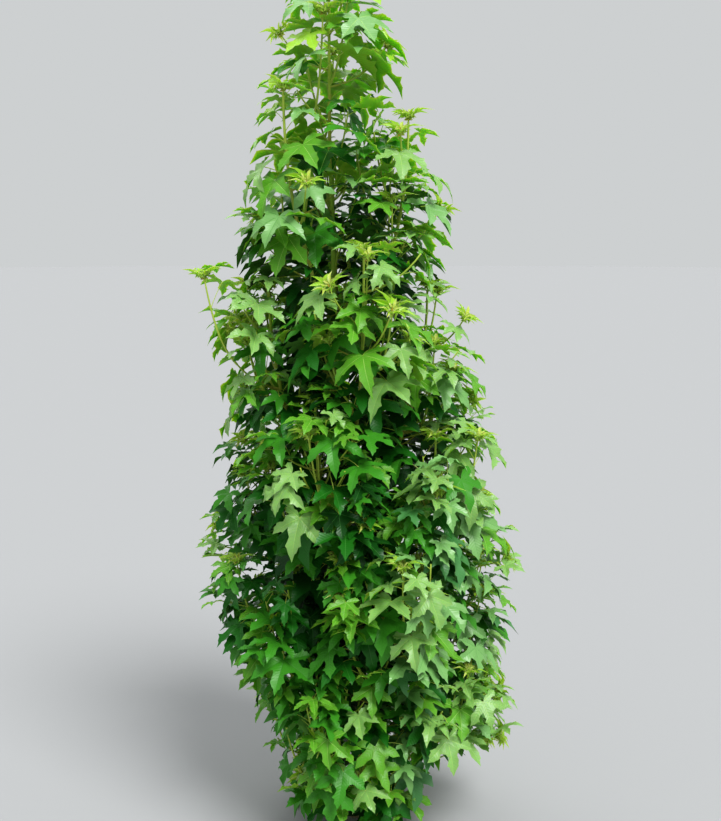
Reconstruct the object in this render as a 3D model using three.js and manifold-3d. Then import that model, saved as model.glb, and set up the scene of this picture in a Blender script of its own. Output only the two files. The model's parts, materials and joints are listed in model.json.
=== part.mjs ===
// A young columnar sweetgum tree, leafy from the ground to its tip, as trunk, boughs and masses of foliage.
// Millimetres, +Z up, +X to the right and +Y away from the viewer.
// The origin is the centre of the flat cut under the trunk, at ground level.
import * as THREE from "three";
import { mergeVertices } from "three/addons/utils/BufferGeometryUtils.js";
import Module from "manifold-3d";

const wasm = await Module();
wasm.setup();

// Driving dimensions
const TREE_HEIGHT = 2350;
const TRUNK_TOP = 1790;
const TRUNK_FOOT_RADIUS = 19;
const TRUNK_TOP_RADIUS = 4.5;
const FLARE_REACH = 13;
const FLARE_HEIGHT = 38;
const FLARE_TOES = 5;
const TOE_DEPTH = 0.3;
const LEAN = -78; // the leader stands this far to the left of the foot
const LEAN_HEIGHT = 1500;
const SWAY = 9; // slow bends of the trunk from side to side
const SWAY_TURNS = 1.5;
const TRUNK_SIDES = 12;
const TRUNK_RINGS = 12;
const RING_CROWDING = 1.7; // above 1 the trunk's rings stand closer near the foot
const JOINT_GAP = 0.3; // between two wooden pieces that meet
const LEAF_CLEARANCE = 1.5; // least room between a leaf or twig and a limb
const GROUND_CLEARANCE = 6;

const BOUGH_FOOT_SHARE = 0.42; // of the trunk's radius where the bough leaves it
const BOUGH_TIP_RADIUS = 4.5;
const BOUGH_SIDES = 6;
const BOUGH_STEP = 75; // length of one straight stretch of a bough
const SHOOT_FOOT_RADIUS = 5.6;
const SHOOT_TIP_RADIUS = 3.4;
const TWIG_TIP_RADIUS = 1.6;
const PETIOLE_RADIUS = 1.2;
const SUNK_SHARE = 0.5; // the inner radius of a three-sided limb, which what grows from it fits in

// The blade: a star of five lobes round the point where the petiole meets it
const BLADE_LENGTH = 158; // from the petiole to the tip of the middle lobe, larger than life
const BLADE_THICKNESS = 3;
const LOBES = [
  { degrees: 118, share: 0.58 },
  { degrees: 57, share: 0.88 },
  { degrees: 0, share: 1 },
  { degrees: -57, share: 0.88 },
  { degrees: -118, share: 0.58 },
];
const NOTCH_SHARE = 0.48; // how far out the cuts between the lobes reach inwards
const LOBE_DROOP = 0.2; // how far a tip hangs under the blade's plane, as a share of the blade
const BLADE_HUB = 0.18; // the thickest point of the blade, forward of the petiole
const PETIOLE_LENGTH = 80; // of the longest
const SHORTEST_PETIOLE = 0.45;
// A petiole leaves its twig sideways, a little towards the twig's tip and out of the crown
const PETIOLE_WAY = { aside: 0.8, along: 0.35, outward: 0.55 };
const TILT_OUT = 0.3; // tips the direction that turns are counted from, so that it suits upright twigs too
const BLADE_OUTWARD = 0.5; // how much more than its petiole a blade points out of the crown
const BLADE_DIP = 37; // degrees that a midrib points below the level

// The crown's half width at each height
const CROWN_PROFILE = [
  { height: 0, reach: 225 },
  { height: 180, reach: 320 },
  { height: 450, reach: 395 },
  { height: 720, reach: 425 },
  { height: 1050, reach: 392 },
  { height: 1350, reach: 352 },
  { height: 1650, reach: 290 },
  { height: 1900, reach: 235 },
  { height: 2150, reach: 165 },
  { height: TREE_HEIGHT, reach: 60 },
];
// Where single sprays stand out of the column or stay short of it, as the photograph shows
const CROWN_BULGES = [
  { degrees: 0, height: 330, extra: 115 },
  { degrees: 180, height: 300, extra: -30 },
  { degrees: 0, height: 700, extra: 40 },
  { degrees: 0, height: 1180, extra: 30 },
  { degrees: 0, height: 1450, extra: -50 },
  { degrees: 180, height: 1450, extra: 35 },
];
const BULGE_WIDTH_DEGREES = 38;
const BULGE_HEIGHT = 130;

// Each tier is a ring of upright boughs, with one mass of foliage on each. The first bough leaves the
// trunk at the height of foot, and each next one a step higher. The masses of a tier stand at
// staggered heights, up to half of stagger above or below its middle.
const TIERS = [
  { name: "foot", count: 4, middle: 235, stagger: 80, foot: 22, step: 8, turn: -22 },
  { name: "low", count: 4, middle: 595, stagger: 150, foot: 150, step: 38, turn: 20 },
  { name: "waist", count: 4, middle: 965, stagger: 150, foot: 440, step: 38, turn: -26 },
  { name: "chest", count: 4, middle: 1335, stagger: 140, foot: 820, step: 38, turn: 12 },
  { name: "high", count: 3, middle: 1680, stagger: 120, foot: 1170, step: 38, turn: 100 },
];
const CENTRE_SHARE = 0.6; // a mass's middle lies this far out in the crown
const TIP_SHARE = 0.34; // and its bough's tip this far
const TIP_BELOW_MIDDLE = 200;
const LOWEST_TIP = 62;
const OUTWARD_LEAN = 0.42; // how far a bough leans out for each millimetre that it climbs, at its tip
const LEAVING_REACH = 0.22; // how far out and how high a bough's lower bend lies, as shares of its rise
const LEAVING_RISE = 0.3;
const ARRIVING_SHARE = 0.35; // and how far its upper bend lies before the tip
const SHOOT_RISE = 420; // the main shoot of a mass climbs this far
const TOP_SHOOT_RISE = 553;
const SHOOT_BEND_SHARE = 0.45; // and straightens upwards at this share
const TOP_MIDDLE_SHARE = 0.45; // the top mass's middle, between the trunk's tip and the tree's
const CELL_SQUASH = 0.85; // heights count this much when space is shared out among the masses
const CELL_MARGIN = 0.8;

// A mass has side twigs from the foot of its shoot to near the tip, in turn to the left, the right and
// straight out, with leaves along them and along the shoot.
const TWIG_COUNT = 5;
const TOP_TWIG_COUNT = 7;
const TWIG_FROM = 0.05;
const TWIG_TO = 0.8;
const TWIG_SPREADS = [-52, 50, 0].map(THREE.MathUtils.degToRad);
const SPREAD_JITTER = THREE.MathUtils.degToRad(34);
const TWIG_LENGTH = 175;
const TWIG_VARIETY = [0.85, 1.15];
const TWIG_ENDS_SHARE = 0.6; // the length of the lowest and highest twigs of a mass
const TWIG_BEND = { out: 0.5, up: 0.1 }; // a twig leaves almost level
const TWIG_END = { out: 0.82, up: 0.55 }; // and ends turned up
const TWIG_LEAVES = 3;
const SHOOT_LEAVES = 10;
const SHOOT_BARE = 0.06; // the share of a shoot below its lowest leaf
const TWIG_BARE = 0.15;
const LEAF_TRIES = 64;
const LEAF_SCALES = [0.68, 1.1]; // the smallest and largest blade
const OLD_LEAF = 1.1; // the lowest leaf of a twig is this much larger
const YOUNG_LEAF = 0.7; // than its middling ones, and the last this much smaller
const LEAF_ROLL = 0.7; // radians that blades turn about their midribs, from side to side
const LAST_LEAF = 0.985;
const CLEAR_FROM = 0.25; // the share of a petiole past its root, where it has to touch nothing
const BLADE_MIDDLE = 0.4;
const GOLDEN_TURN = THREE.MathUtils.degToRad(137.5);
const SEED_STEP = 7919;
const UP = new THREE.Vector3(0, 0, 1);

const BARK = new THREE.MeshStandardMaterial({ color: "#75664f", roughness: 0.9 });
const YOUNG_BARK = new THREE.MeshStandardMaterial({ color: "#8a8f4e", roughness: 0.75 });
const FOLIAGE = new THREE.MeshStandardMaterial({ color: "#4c8a3a", roughness: 0.55 });

const radians = THREE.MathUtils.degToRad;
const heading = (angle) => new THREE.Vector3(Math.cos(angle), Math.sin(angle), 0);

// A repeatable source of numbers from 0 to 1.
function seeded(seed) {
  let state = seed >>> 0;
  return () => {
    state = (Math.imul(state, 1664525) + 1013904223) >>> 0;
    return (state >>> 8) / 16777216;
  };
}

// A closed geometry as a solid that can be joined and cut.
function solidOf(geometry) {
  geometry.deleteAttribute("normal");
  geometry.deleteAttribute("uv");
  const merged = mergeVertices(geometry, 1e-4);
  return new wasm.Manifold(
    new wasm.Mesh({
      numProp: 3,
      vertProperties: merged.attributes.position.array,
      triVerts: new Uint32Array(merged.index.array),
    }),
  );
}

// A solid back as a geometry for a mesh.
function geometryOf(solid) {
  const mesh = solid.getMesh();
  const corners = new Float32Array(mesh.numVert * 3);
  for (let i = 0; i < mesh.numVert; i++)
    corners.set(mesh.vertProperties.subarray(i * mesh.numProp, i * mesh.numProp + 3), i * 3);
  const geometry = new THREE.BufferGeometry();
  geometry.setAttribute("position", new THREE.BufferAttribute(corners, 3));
  geometry.setIndex(new THREE.BufferAttribute(new Uint32Array(mesh.triVerts), 1));
  geometry.computeVertexNormals();
  return geometry;
}

const touches = (a, b) => !a.intersect(b).isEmpty();

// The largest body of a solid, so that no loose scrap is left.
function largestBody(solid) {
  return solid.decompose().reduce((a, b) => (b.volume() > a.volume() ? b : a));
}

// The trunk's centre line: one long lean to the left with slow bends.
function trunkCentre(height) {
  const share = Math.min(height / LEAN_HEIGHT, 1);
  const lean = LEAN * share * share * (3 - 2 * share);
  const phase = (height / TRUNK_TOP) * 2 * Math.PI;
  const [swayX, swayY] = [Math.sin(phase * SWAY_TURNS), Math.sin(phase + 1)];
  return new THREE.Vector3(lean + SWAY * share * swayX, SWAY * share * swayY, height);
}

// The trunk's radius: an even taper, with a flare of blunt toes at the ground.
function trunkRadius(height, angle = 0) {
  const taper = THREE.MathUtils.lerp(TRUNK_FOOT_RADIUS, TRUNK_TOP_RADIUS, height / TRUNK_TOP);
  const toes = 1 + TOE_DEPTH * Math.cos(FLARE_TOES * angle);
  return taper + FLARE_REACH * Math.exp(-height / FLARE_HEIGHT) * toes;
}

// The whole trunk with level rings, closer together near the flared foot.
function trunkSolid(extra = 0) {
  const tube = new THREE.CylinderGeometry(1, 1, 1, TRUNK_SIDES, TRUNK_RINGS).rotateX(Math.PI / 2);
  const corners = tube.attributes.position;
  for (let i = 0; i < corners.count; i++) {
    const [x, y] = [corners.getX(i), corners.getY(i)];
    const height = TRUNK_TOP * Math.pow(corners.getZ(i) + 0.5, RING_CROWDING);
    const radius = trunkRadius(height, Math.atan2(y, x)) + extra;
    const centre = trunkCentre(height);
    corners.setXYZ(i, centre.x + x * radius, centre.y + y * radius, height);
  }
  return solidOf(tube);
}

// A limb that follows a curve and tapers from one radius to another.
function limbSolid(curve, footRadius, tipRadius, sides, steps) {
  const tube = new THREE.CylinderGeometry(1, 1, 1, sides, steps);
  const frames = curve.computeFrenetFrames(steps, false);
  const corners = tube.attributes.position;
  const place = new THREE.Vector3();
  for (let i = 0; i < corners.count; i++) {
    const share = corners.getY(i) + 0.5;
    const ring = Math.round(share * steps);
    const radius = THREE.MathUtils.lerp(footRadius, tipRadius, share);
    place
      .copy(curve.getPointAt(share))
      .addScaledVector(frames.normals[ring], corners.getX(i) * radius)
      .addScaledVector(frames.binormals[ring], -corners.getZ(i) * radius);
    corners.setXYZ(i, place.x, place.y, place.z);
  }
  return solidOf(tube);
}

// How far the crown reaches from its middle line at a height and a heading.
function crownReach(height, angle) {
  const above = CROWN_PROFILE.findIndex((p) => p.height >= height);
  if (above < 0) return 0;
  const high = CROWN_PROFILE[above];
  const low = CROWN_PROFILE[Math.max(above - 1, 0)];
  const span = Math.max(high.height - low.height, 1);
  let reach = THREE.MathUtils.lerp(low.reach, high.reach, (height - low.height) / span);
  for (const bulge of CROWN_BULGES) {
    const apart = Math.cos(angle - radians(bulge.degrees));
    const turn = Math.acos(THREE.MathUtils.clamp(apart, -1, 1)) / radians(BULGE_WIDTH_DEGREES);
    const rise = (height - bulge.height) / BULGE_HEIGHT;
    reach += bulge.extra * Math.exp(-turn * turn - rise * rise);
  }
  return reach;
}

// The crown stands over the foot below and round the leader at the top.
function crownCentre(height) {
  return trunkCentre(Math.min(height, TRUNK_TOP)).multiplyScalar(height / TREE_HEIGHT).setZ(height);
}

// A point of the crown, at a share of its reach towards a heading.
function inCrown(height, angle, share) {
  const reach = crownReach(height, angle) * share;
  return crownCentre(height).addScaledVector(heading(angle), reach);
}

// The boughs, each with its curve, and the way and the middle of the mass that grows on from it.
function planBoughs() {
  const plans = [];
  for (const tier of TIERS)
    for (let i = 0; i < tier.count; i++) {
      const angle = radians(tier.turn) + (i * 2 * Math.PI) / tier.count;
      const out = heading(angle);
      const lift = tier.stagger * (((2 * i) % tier.count) / (tier.count - 1) - 0.5);
      const height = tier.middle + lift;
      const foot = trunkCentre(tier.foot + i * tier.step);
      const middle = inCrown(height, angle, CENTRE_SHARE);
      const tip = inCrown(Math.max(height - TIP_BELOW_MIDDLE, LOWEST_TIP), angle, TIP_SHARE);
      const way = UP.clone().addScaledVector(out, OUTWARD_LEAN).normalize();
      const rise = tip.z - foot.z;
      const leaving = foot.clone().addScaledVector(out, LEAVING_REACH * rise);
      leaving.z += LEAVING_RISE * rise;
      const arriving = tip.clone().addScaledVector(way, -ARRIVING_SHARE * rise);
      const curve = new THREE.CubicBezierCurve3(foot, leaving, arriving, tip);
      plans.push({ name: `${tier.name}_${i + 1}`, angle, curve, tip, way, middle, rise: SHOOT_RISE });
    }
  return plans;
}

// The top mass grows on from the trunk's own tip.
function planTop() {
  const tip = trunkCentre(TRUNK_TOP);
  const middle = tip.clone().setZ(THREE.MathUtils.lerp(TRUNK_TOP, TREE_HEIGHT, TOP_MIDDLE_SHARE));
  return { name: "top", angle: Math.PI / 2, tip, way: UP.clone(), middle, rise: TOP_SHOOT_RISE };
}

// The way a leaf sits: its twig's point, its petiole, and the three directions of its blade.
function leafPlace(root, axis, outward, { turn, roll, scale, stalk }) {
  const across = new THREE.Vector3().crossVectors(axis, UP.clone().addScaledVector(outward, TILT_OUT));
  across.normalize();
  const along = new THREE.Vector3().crossVectors(across, axis);
  const side = across.clone().multiplyScalar(Math.cos(turn)).addScaledVector(along, Math.sin(turn));
  const petiole = side.multiplyScalar(PETIOLE_WAY.aside).addScaledVector(axis, PETIOLE_WAY.along);
  petiole.addScaledVector(outward, PETIOLE_WAY.outward).normalize();
  const level = petiole.clone().addScaledVector(outward, BLADE_OUTWARD).setZ(0).normalize();
  const dip = radians(BLADE_DIP);
  const midrib = level.multiplyScalar(Math.cos(dip)).addScaledVector(UP, -Math.sin(dip));
  const rightward = new THREE.Vector3().crossVectors(midrib, UP).normalize();
  rightward.applyAxisAngle(midrib, roll);
  const face = new THREE.Vector3().crossVectors(rightward, midrib);
  const base = root.clone().addScaledVector(petiole, PETIOLE_LENGTH * stalk);
  return { root, petiole, base, midrib, rightward, face, length: BLADE_LENGTH * scale };
}

// A point of the blade from its own right, forward and upward shares.
function bladePoint(leaf, right, forward, upward) {
  return leaf.base
    .clone()
    .addScaledVector(leaf.rightward, right * leaf.length)
    .addScaledVector(leaf.midrib, forward * leaf.length)
    .addScaledVector(leaf.face, upward * leaf.length);
}

// The blade's rim, from the petiole's right side round to its left: tips and the notches between.
function bladeRim(leaf) {
  const rim = [bladePoint(leaf, PETIOLE_RADIUS / BLADE_LENGTH, 0, 0)];
  LOBES.forEach((lobe, i) => {
    const angle = radians(lobe.degrees);
    const [right, forward] = [Math.sin(angle) * lobe.share, Math.cos(angle) * lobe.share];
    rim.push(bladePoint(leaf, right, forward, -LOBE_DROOP * lobe.share * lobe.share));
    const next = LOBES[i + 1];
    if (!next) return;
    const between = radians((lobe.degrees + next.degrees) / 2);
    const reach = (NOTCH_SHARE * (lobe.share + next.share)) / 2;
    rim.push(bladePoint(leaf, Math.sin(between) * reach, Math.cos(between) * reach, 0));
  });
  rim.push(bladePoint(leaf, -PETIOLE_RADIUS / BLADE_LENGTH, 0, 0));
  return rim;
}

// One leaf with its petiole as a closed solid. The petiole starts at a share of its own length.
function leafSolid(leaf, rim, rootRadius, start = 0) {
  const half = BLADE_THICKNESS / 2 / BLADE_LENGTH;
  const top = bladePoint(leaf, 0, BLADE_HUB, half);
  const under = bladePoint(leaf, 0, BLADE_HUB, -half);
  const from = leaf.root.clone().lerp(leaf.base, start);
  const side = leaf.rightward.clone().projectOnPlane(leaf.petiole).normalize();
  const below = new THREE.Vector3().crossVectors(leaf.petiole, side);
  const rootRight = from.clone().addScaledVector(side, rootRadius);
  const rootLeft = from.clone().addScaledVector(side, -rootRadius);
  const rootUnder = from.clone().addScaledVector(below, rootRadius);

  const points = [...rim, top, under, rootLeft, rootRight, rootUnder];
  const last = rim.length - 1;
  const [t, u, l, r, b] = [1, 2, 3, 4, 5].map((i) => last + i);
  const faces = [t, last, 0];
  for (let i = 0; i < last; i++) faces.push(t, i, i + 1, u, i + 1, i);
  faces.push(0, last, l, 0, l, r, u, 0, r, u, r, b, last, u, b, last, b, l, r, l, b);

  const geometry = new THREE.BufferGeometry().setFromPoints(points);
  geometry.setIndex(faces);
  return solidOf(geometry);
}

// A thin three-sided limb of a mass, in straight stretches along a bend. It tapers from foot to tip.
class ThinLimb {
  constructor(points, out, footRadius, tipRadius, steps) {
    this.curve = new THREE.QuadraticBezierCurve3(...points);
    this.out = out;
    this.footRadius = footRadius;
    this.tipRadius = tipRadius;
    this.steps = steps;
  }
  radiusAt(share) {
    return THREE.MathUtils.lerp(this.footRadius, this.tipRadius, share);
  }
  // A point in the middle of the wood, and the way the limb runs there.
  placeAt(share) {
    const stretch = Math.min(Math.floor(share * this.steps), this.steps - 1);
    const [from, to] = [stretch, stretch + 1].map((i) => this.curve.getPointAt(i / this.steps));
    const along = to.clone().sub(from);
    return { point: from.addScaledVector(along, share * this.steps - stretch), axis: along.normalize() };
  }
  solid() {
    return limbSolid(this.curve, this.footRadius, this.tipRadius, 3, this.steps);
  }
}

// The main shoot of a mass: it grows on from its bough and straightens towards the light.
function mainShoot(mass) {
  const start = mass.tip.clone().addScaledVector(mass.way, JOINT_GAP);
  const bend = start.clone().addScaledVector(mass.way, mass.rise * SHOOT_BEND_SHARE);
  const end = bend.clone().addScaledVector(UP, mass.rise * (1 - SHOOT_BEND_SHARE));
  return new ThinLimb([start, bend, end], heading(mass.angle), SHOOT_FOOT_RADIUS, SHOOT_TIP_RADIUS, 4);
}

// The side twigs of a shoot, the longest at the middle of the mass.
function sideTwigs(mass, shoot, random) {
  const twigs = [];
  const top = mass.name === "top";
  const count = top ? TOP_TWIG_COUNT : TWIG_COUNT;
  for (let i = 0; i < count; i++) {
    const share = THREE.MathUtils.lerp(TWIG_FROM, TWIG_TO, (i + 0.5 * random()) / (count - 0.5));
    const spread = top ? i * GOLDEN_TURN : TWIG_SPREADS[i % TWIG_SPREADS.length];
    const out = heading(mass.angle + spread + SPREAD_JITTER * (random() - 0.5));
    const start = shoot.placeAt(share).point;
    const middling = THREE.MathUtils.lerp(TWIG_ENDS_SHARE, 1, Math.sin(Math.PI * share));
    const length = TWIG_LENGTH * middling * THREE.MathUtils.lerp(...TWIG_VARIETY, random());
    const grownBy = (part) => start.clone().addScaledVector(out, length * part.out);
    const bend = grownBy(TWIG_BEND).addScaledVector(UP, length * TWIG_BEND.up);
    const end = grownBy(TWIG_END).addScaledVector(UP, length * TWIG_END.up);
    const footRadius = SUNK_SHARE * shoot.radiusAt(share);
    twigs.push(new ThinLimb([start, bend, end], out, footRadius, TWIG_TIP_RADIUS, 2));
  }
  return twigs;
}

// One mass of foliage: a shoot, its side twigs and their leaves, fused into one solid as they grow.
class Foliage {
  constructor(mass, masses, limbs, seed) {
    this.mass = mass;
    this.others = masses.filter((other) => other !== mass);
    this.limbs = limbs;
    this.random = seeded(seed);
    this.blades = []; // the middles of the blades that hang so far
  }

  // How deep a point lies inside the mass's own share of the crown. Below zero it is outside.
  depth(point) {
    const squash = (v) => new THREE.Vector3(v.x, v.y, v.z * CELL_SQUASH);
    const [at, own] = [squash(point), squash(this.mass.middle)];
    const depths = this.others.map((other) => {
      const theirs = squash(other.middle);
      const nearer = at.distanceToSquared(theirs) - at.distanceToSquared(own);
      return nearer / (2 * own.distanceTo(theirs));
    });
    return Math.min(...depths) - CELL_MARGIN;
  }

  // True if a point is above the ground, in the crown's outline and in the mass's own space.
  hasRoom(point) {
    if (point.z < GROUND_CLEARANCE || point.z > TREE_HEIGHT) return false;
    const centre = crownCentre(point.z);
    const [x, y] = [point.x - centre.x, point.y - centre.y];
    if (Math.hypot(x, y) > crownReach(point.z, Math.atan2(y, x))) return false;
    return this.depth(point) > 0;
  }

  // The places a leaf could take at a point of its twig, the roomiest first.
  leafChoices({ point, axis }, out, youth, turn) {
    const choices = [];
    for (let attempt = 0; attempt < LEAF_TRIES; attempt++) {
      const leaf = leafPlace(point, axis, out, {
        turn: turn + (attempt * 2 * Math.PI) / LEAF_TRIES,
        roll: (this.random() - 0.5) * LEAF_ROLL,
        scale: youth * THREE.MathUtils.lerp(...LEAF_SCALES, this.random()),
        stalk: THREE.MathUtils.lerp(SHORTEST_PETIOLE, 1, this.random()),
      });
      const rim = bladeRim(leaf);
      if (!rim.every((p) => this.hasRoom(p))) continue;
      const middle = bladePoint(leaf, 0, BLADE_MIDDLE, 0);
      const room = Math.min(...this.blades.map((b) => b.distanceTo(middle)), 2 * BLADE_LENGTH);
      choices.push({ leaf, rim, middle, score: room + leaf.length / 2 });
    }
    return choices.sort((a, b) => b.score - a.score);
  }

  // Hangs leaves along a limb, each in the roomiest place that touches nothing.
  addLeaves(limb, count, bare) {
    for (let i = 0; i < count; i++) {
      const share = Math.min(THREE.MathUtils.lerp(bare, 1, (i + 0.6) / count), LAST_LEAF);
      const youth = THREE.MathUtils.lerp(OLD_LEAF, YOUNG_LEAF, share * share);
      const rootRadius = Math.min(SUNK_SHARE * limb.radiusAt(share), PETIOLE_RADIUS);
      for (const choice of this.leafChoices(limb.placeAt(share), limb.out, youth, i * GOLDEN_TURN)) {
        const probe = leafSolid(choice.leaf, choice.rim, rootRadius, CLEAR_FROM);
        if (touches(probe, this.limbs) || touches(probe, this.grown)) continue;
        this.grown = this.grown.add(leafSolid(choice.leaf, choice.rim, rootRadius));
        this.blades.push(choice.middle);
        break;
      }
    }
  }

  solid() {
    const shoot = mainShoot(this.mass);
    this.grown = shoot.solid();
    const twigs = sideTwigs(this.mass, shoot, this.random).filter(
      (twig) => this.hasRoom(twig.curve.getPointAt(1)) && !touches(twig.solid(), this.limbs),
    );
    for (const twig of twigs) this.grown = this.grown.add(twig.solid());
    for (const twig of twigs) this.addLeaves(twig, TWIG_LEAVES, TWIG_BARE);
    this.addLeaves(shoot, SHOOT_LEAVES, SHOOT_BARE);
    return largestBody(this.grown);
  }
}

function named(name, solid, material) {
  const mesh = new THREE.Mesh(geometryOf(solid), material);
  mesh.name = name;
  return mesh;
}

function buildTree() {
  const tree = new THREE.Group();
  const seat = trunkSolid(JOINT_GAP);
  tree.add(named("trunk", trunkSolid(), BARK));

  const boughs = planBoughs();
  const wood = [trunkSolid(LEAF_CLEARANCE)];
  for (const { name, curve } of boughs) {
    const footRadius = Math.max(trunkRadius(curve.v0.z) * BOUGH_FOOT_SHARE, BOUGH_TIP_RADIUS + 1);
    const steps = Math.max(3, Math.round(curve.getLength() / BOUGH_STEP));
    const limb = limbSolid(curve, footRadius, BOUGH_TIP_RADIUS, BOUGH_SIDES, steps);
    tree.add(named(`bough_${name}`, largestBody(limb.subtract(seat)), YOUNG_BARK));
    const [wideFoot, wideTip] = [footRadius + LEAF_CLEARANCE, BOUGH_TIP_RADIUS + LEAF_CLEARANCE];
    wood.push(limbSolid(curve, wideFoot, wideTip, BOUGH_SIDES, steps));
  }

  const limbs = wasm.Manifold.union(wood);
  const masses = [...boughs, planTop()];
  masses.forEach((mass, i) => {
    const foliage = new Foliage(mass, masses, limbs, SEED_STEP * (i + 1));
    tree.add(named(`foliage_${mass.name}`, foliage.solid(), FOLIAGE));
  });
  return tree;
}

export default buildTree();
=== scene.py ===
"""Looks of a young columnar sweetgum tree: bark on its limbs, and twigs and leaves in place of its masses.

Metres, +Z up, +X to the right and +Y away from the viewer. The limbs grow by the rule of the solids: each
mass has a main shoot on its bough's tip and side twigs along the shoot. Here that rule is carried on to
twiglets, and every leaf has its own toothed lobes, veins and petiole.
"""

import json
import logging
import math
from dataclasses import dataclass, field
from enum import Enum
from typing import Sequence

import bpy
import numpy as np
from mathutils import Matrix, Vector, noise
from mathutils.bvhtree import BVHTree

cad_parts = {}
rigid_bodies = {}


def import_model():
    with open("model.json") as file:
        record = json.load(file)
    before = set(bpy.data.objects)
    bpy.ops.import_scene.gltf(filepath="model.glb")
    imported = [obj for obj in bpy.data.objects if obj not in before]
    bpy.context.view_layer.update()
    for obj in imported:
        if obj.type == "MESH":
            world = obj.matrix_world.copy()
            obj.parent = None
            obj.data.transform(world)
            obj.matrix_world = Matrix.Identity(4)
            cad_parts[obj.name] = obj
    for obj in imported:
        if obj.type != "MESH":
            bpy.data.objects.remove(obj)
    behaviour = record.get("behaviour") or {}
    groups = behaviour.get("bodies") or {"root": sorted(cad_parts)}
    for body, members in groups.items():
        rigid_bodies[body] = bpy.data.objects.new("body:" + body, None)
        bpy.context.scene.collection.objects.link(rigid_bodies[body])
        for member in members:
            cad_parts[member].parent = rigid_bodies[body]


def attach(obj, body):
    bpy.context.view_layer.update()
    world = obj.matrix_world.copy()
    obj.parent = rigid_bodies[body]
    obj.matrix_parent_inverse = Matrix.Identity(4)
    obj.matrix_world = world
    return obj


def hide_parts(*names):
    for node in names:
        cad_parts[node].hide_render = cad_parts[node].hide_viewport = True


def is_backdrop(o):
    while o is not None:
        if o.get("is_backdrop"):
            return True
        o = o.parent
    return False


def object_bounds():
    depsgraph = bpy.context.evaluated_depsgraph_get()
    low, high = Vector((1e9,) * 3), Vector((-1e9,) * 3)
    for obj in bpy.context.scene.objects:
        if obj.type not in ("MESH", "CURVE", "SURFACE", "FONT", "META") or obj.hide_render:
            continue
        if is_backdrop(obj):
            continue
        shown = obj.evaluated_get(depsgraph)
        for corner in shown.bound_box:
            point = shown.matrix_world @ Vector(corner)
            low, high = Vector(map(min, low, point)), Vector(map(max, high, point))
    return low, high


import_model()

LOG = logging.getLogger("sweetgum")
BODY = "root"
MILLIMETRE = 0.001
UP = np.array((0.0, 0.0, 1.0))
GOLDEN_TURN = math.radians(137.5)
BLADE_UV = "blade"  # metres across and along the vein of a lobe
CREASE_DEGREES = 50  # edges of the bark that bend by more than this stay sharp
NEARLY_ZERO = 1e-6
OUTER_PART = np.array((0.6, 1.0))  # the shares of a limb's length that have to lie inside the crown


def heading(angle: float) -> np.ndarray:
    """The level direction at an angle from +X."""
    return np.array((math.cos(angle), math.sin(angle), 0.0))


def unit(vectors: np.ndarray) -> np.ndarray:
    """Vectors of length one that point the same way."""
    return vectors / np.linalg.norm(vectors, axis=-1, keepdims=True)


def mixed(low: float, high: float, share: float | np.ndarray) -> float | np.ndarray:
    """A value between two others, at a share of the way."""
    return low + (high - low) * share


def bezier(controls: Sequence[np.ndarray], shares: np.ndarray) -> np.ndarray:
    """Points of a Bezier curve.

    Args:
        controls: The curve's control points, from its start to its end.
        shares: The curve's own parameter at each wanted point, from 0 to 1.

    Returns:
        One point for each share.
    """
    points = [np.asarray(control)[None, :] for control in controls]
    steps = shares[:, None]
    while len(points) > 1:
        points = [a + (b - a) * steps for a, b in zip(points, points[1:])]
    return points[0]


class Draws:
    """A repeatable source of numbers from 0 to 1, the same as the solids have."""

    FACTOR, STEP, MASK = 1664525, 1013904223, 0xFFFFFFFF
    DROPPED_BITS, KEPT_BITS = 8, 24

    def __init__(self, seed: int) -> None:
        """Starts the source from a whole number."""
        self.state = seed & self.MASK

    def next(self) -> float:
        """The next number from 0 to 1."""
        self.state = (self.state * self.FACTOR + self.STEP) & self.MASK
        return (self.state >> self.DROPPED_BITS) / (1 << self.KEPT_BITS)

    def between(self, low: float, high: float) -> float:
        """The next number between two limits."""
        return mixed(low, high, self.next())

    def several(self, count: int, low: float, high: float) -> np.ndarray:
        """A row of numbers between two limits."""
        return np.array([self.between(low, high) for _ in range(count)])


@dataclass(frozen=True)
class TrunkForm:
    """The trunk's line and taper: one long lean to the left with slow bends, over a flare of blunt toes."""

    top: float = 1.790
    foot_radius: float = 0.019
    top_radius: float = 0.0045
    flare_reach: float = 0.013
    flare_height: float = 0.038
    flare_toes: int = 5
    toe_depth: float = 0.3
    lean: float = -0.078
    lean_height: float = 1.500
    sway: float = 0.009
    sway_turns: float = 1.5
    sway_phase: float = 1.0

    def centre(self, height: float) -> np.ndarray:
        """The middle of the trunk, which eases over into its lean and sways a little.

        Args:
            height: The height of the wanted point.

        Returns:
            The point.
        """
        share = min(height / self.lean_height, 1.0)
        lean = self.lean * share * share * (3 - 2 * share)
        phase = height / self.top * 2 * math.pi
        sway = self.sway * share
        x = lean + sway * math.sin(phase * self.sway_turns)
        return np.array((x, sway * math.sin(phase + self.sway_phase), height))

    def radius(self, height: float, angle: float = 0.0) -> float:
        """The trunk's radius.

        Args:
            height: The height that it is wanted at.
            angle: The heading that it is wanted towards, round which the toes stand out.

        Returns:
            The radius.
        """
        taper = mixed(self.foot_radius, self.top_radius, height / self.top)
        toes = 1 + self.toe_depth * math.cos(self.flare_toes * angle)
        return taper + self.flare_reach * math.exp(-height / self.flare_height) * toes


@dataclass(frozen=True)
class Bulge:
    """Where sprays stand out of the crown's even outline, or stay short of it."""

    degrees: float
    height: float
    extra: float


@dataclass(frozen=True)
class Hollow:
    """A dark gap between sprays, open from the crown's outline in to a share of its reach."""

    degrees: float
    height: float
    half_width: float
    half_height: float
    floor: float = 0.55


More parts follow.
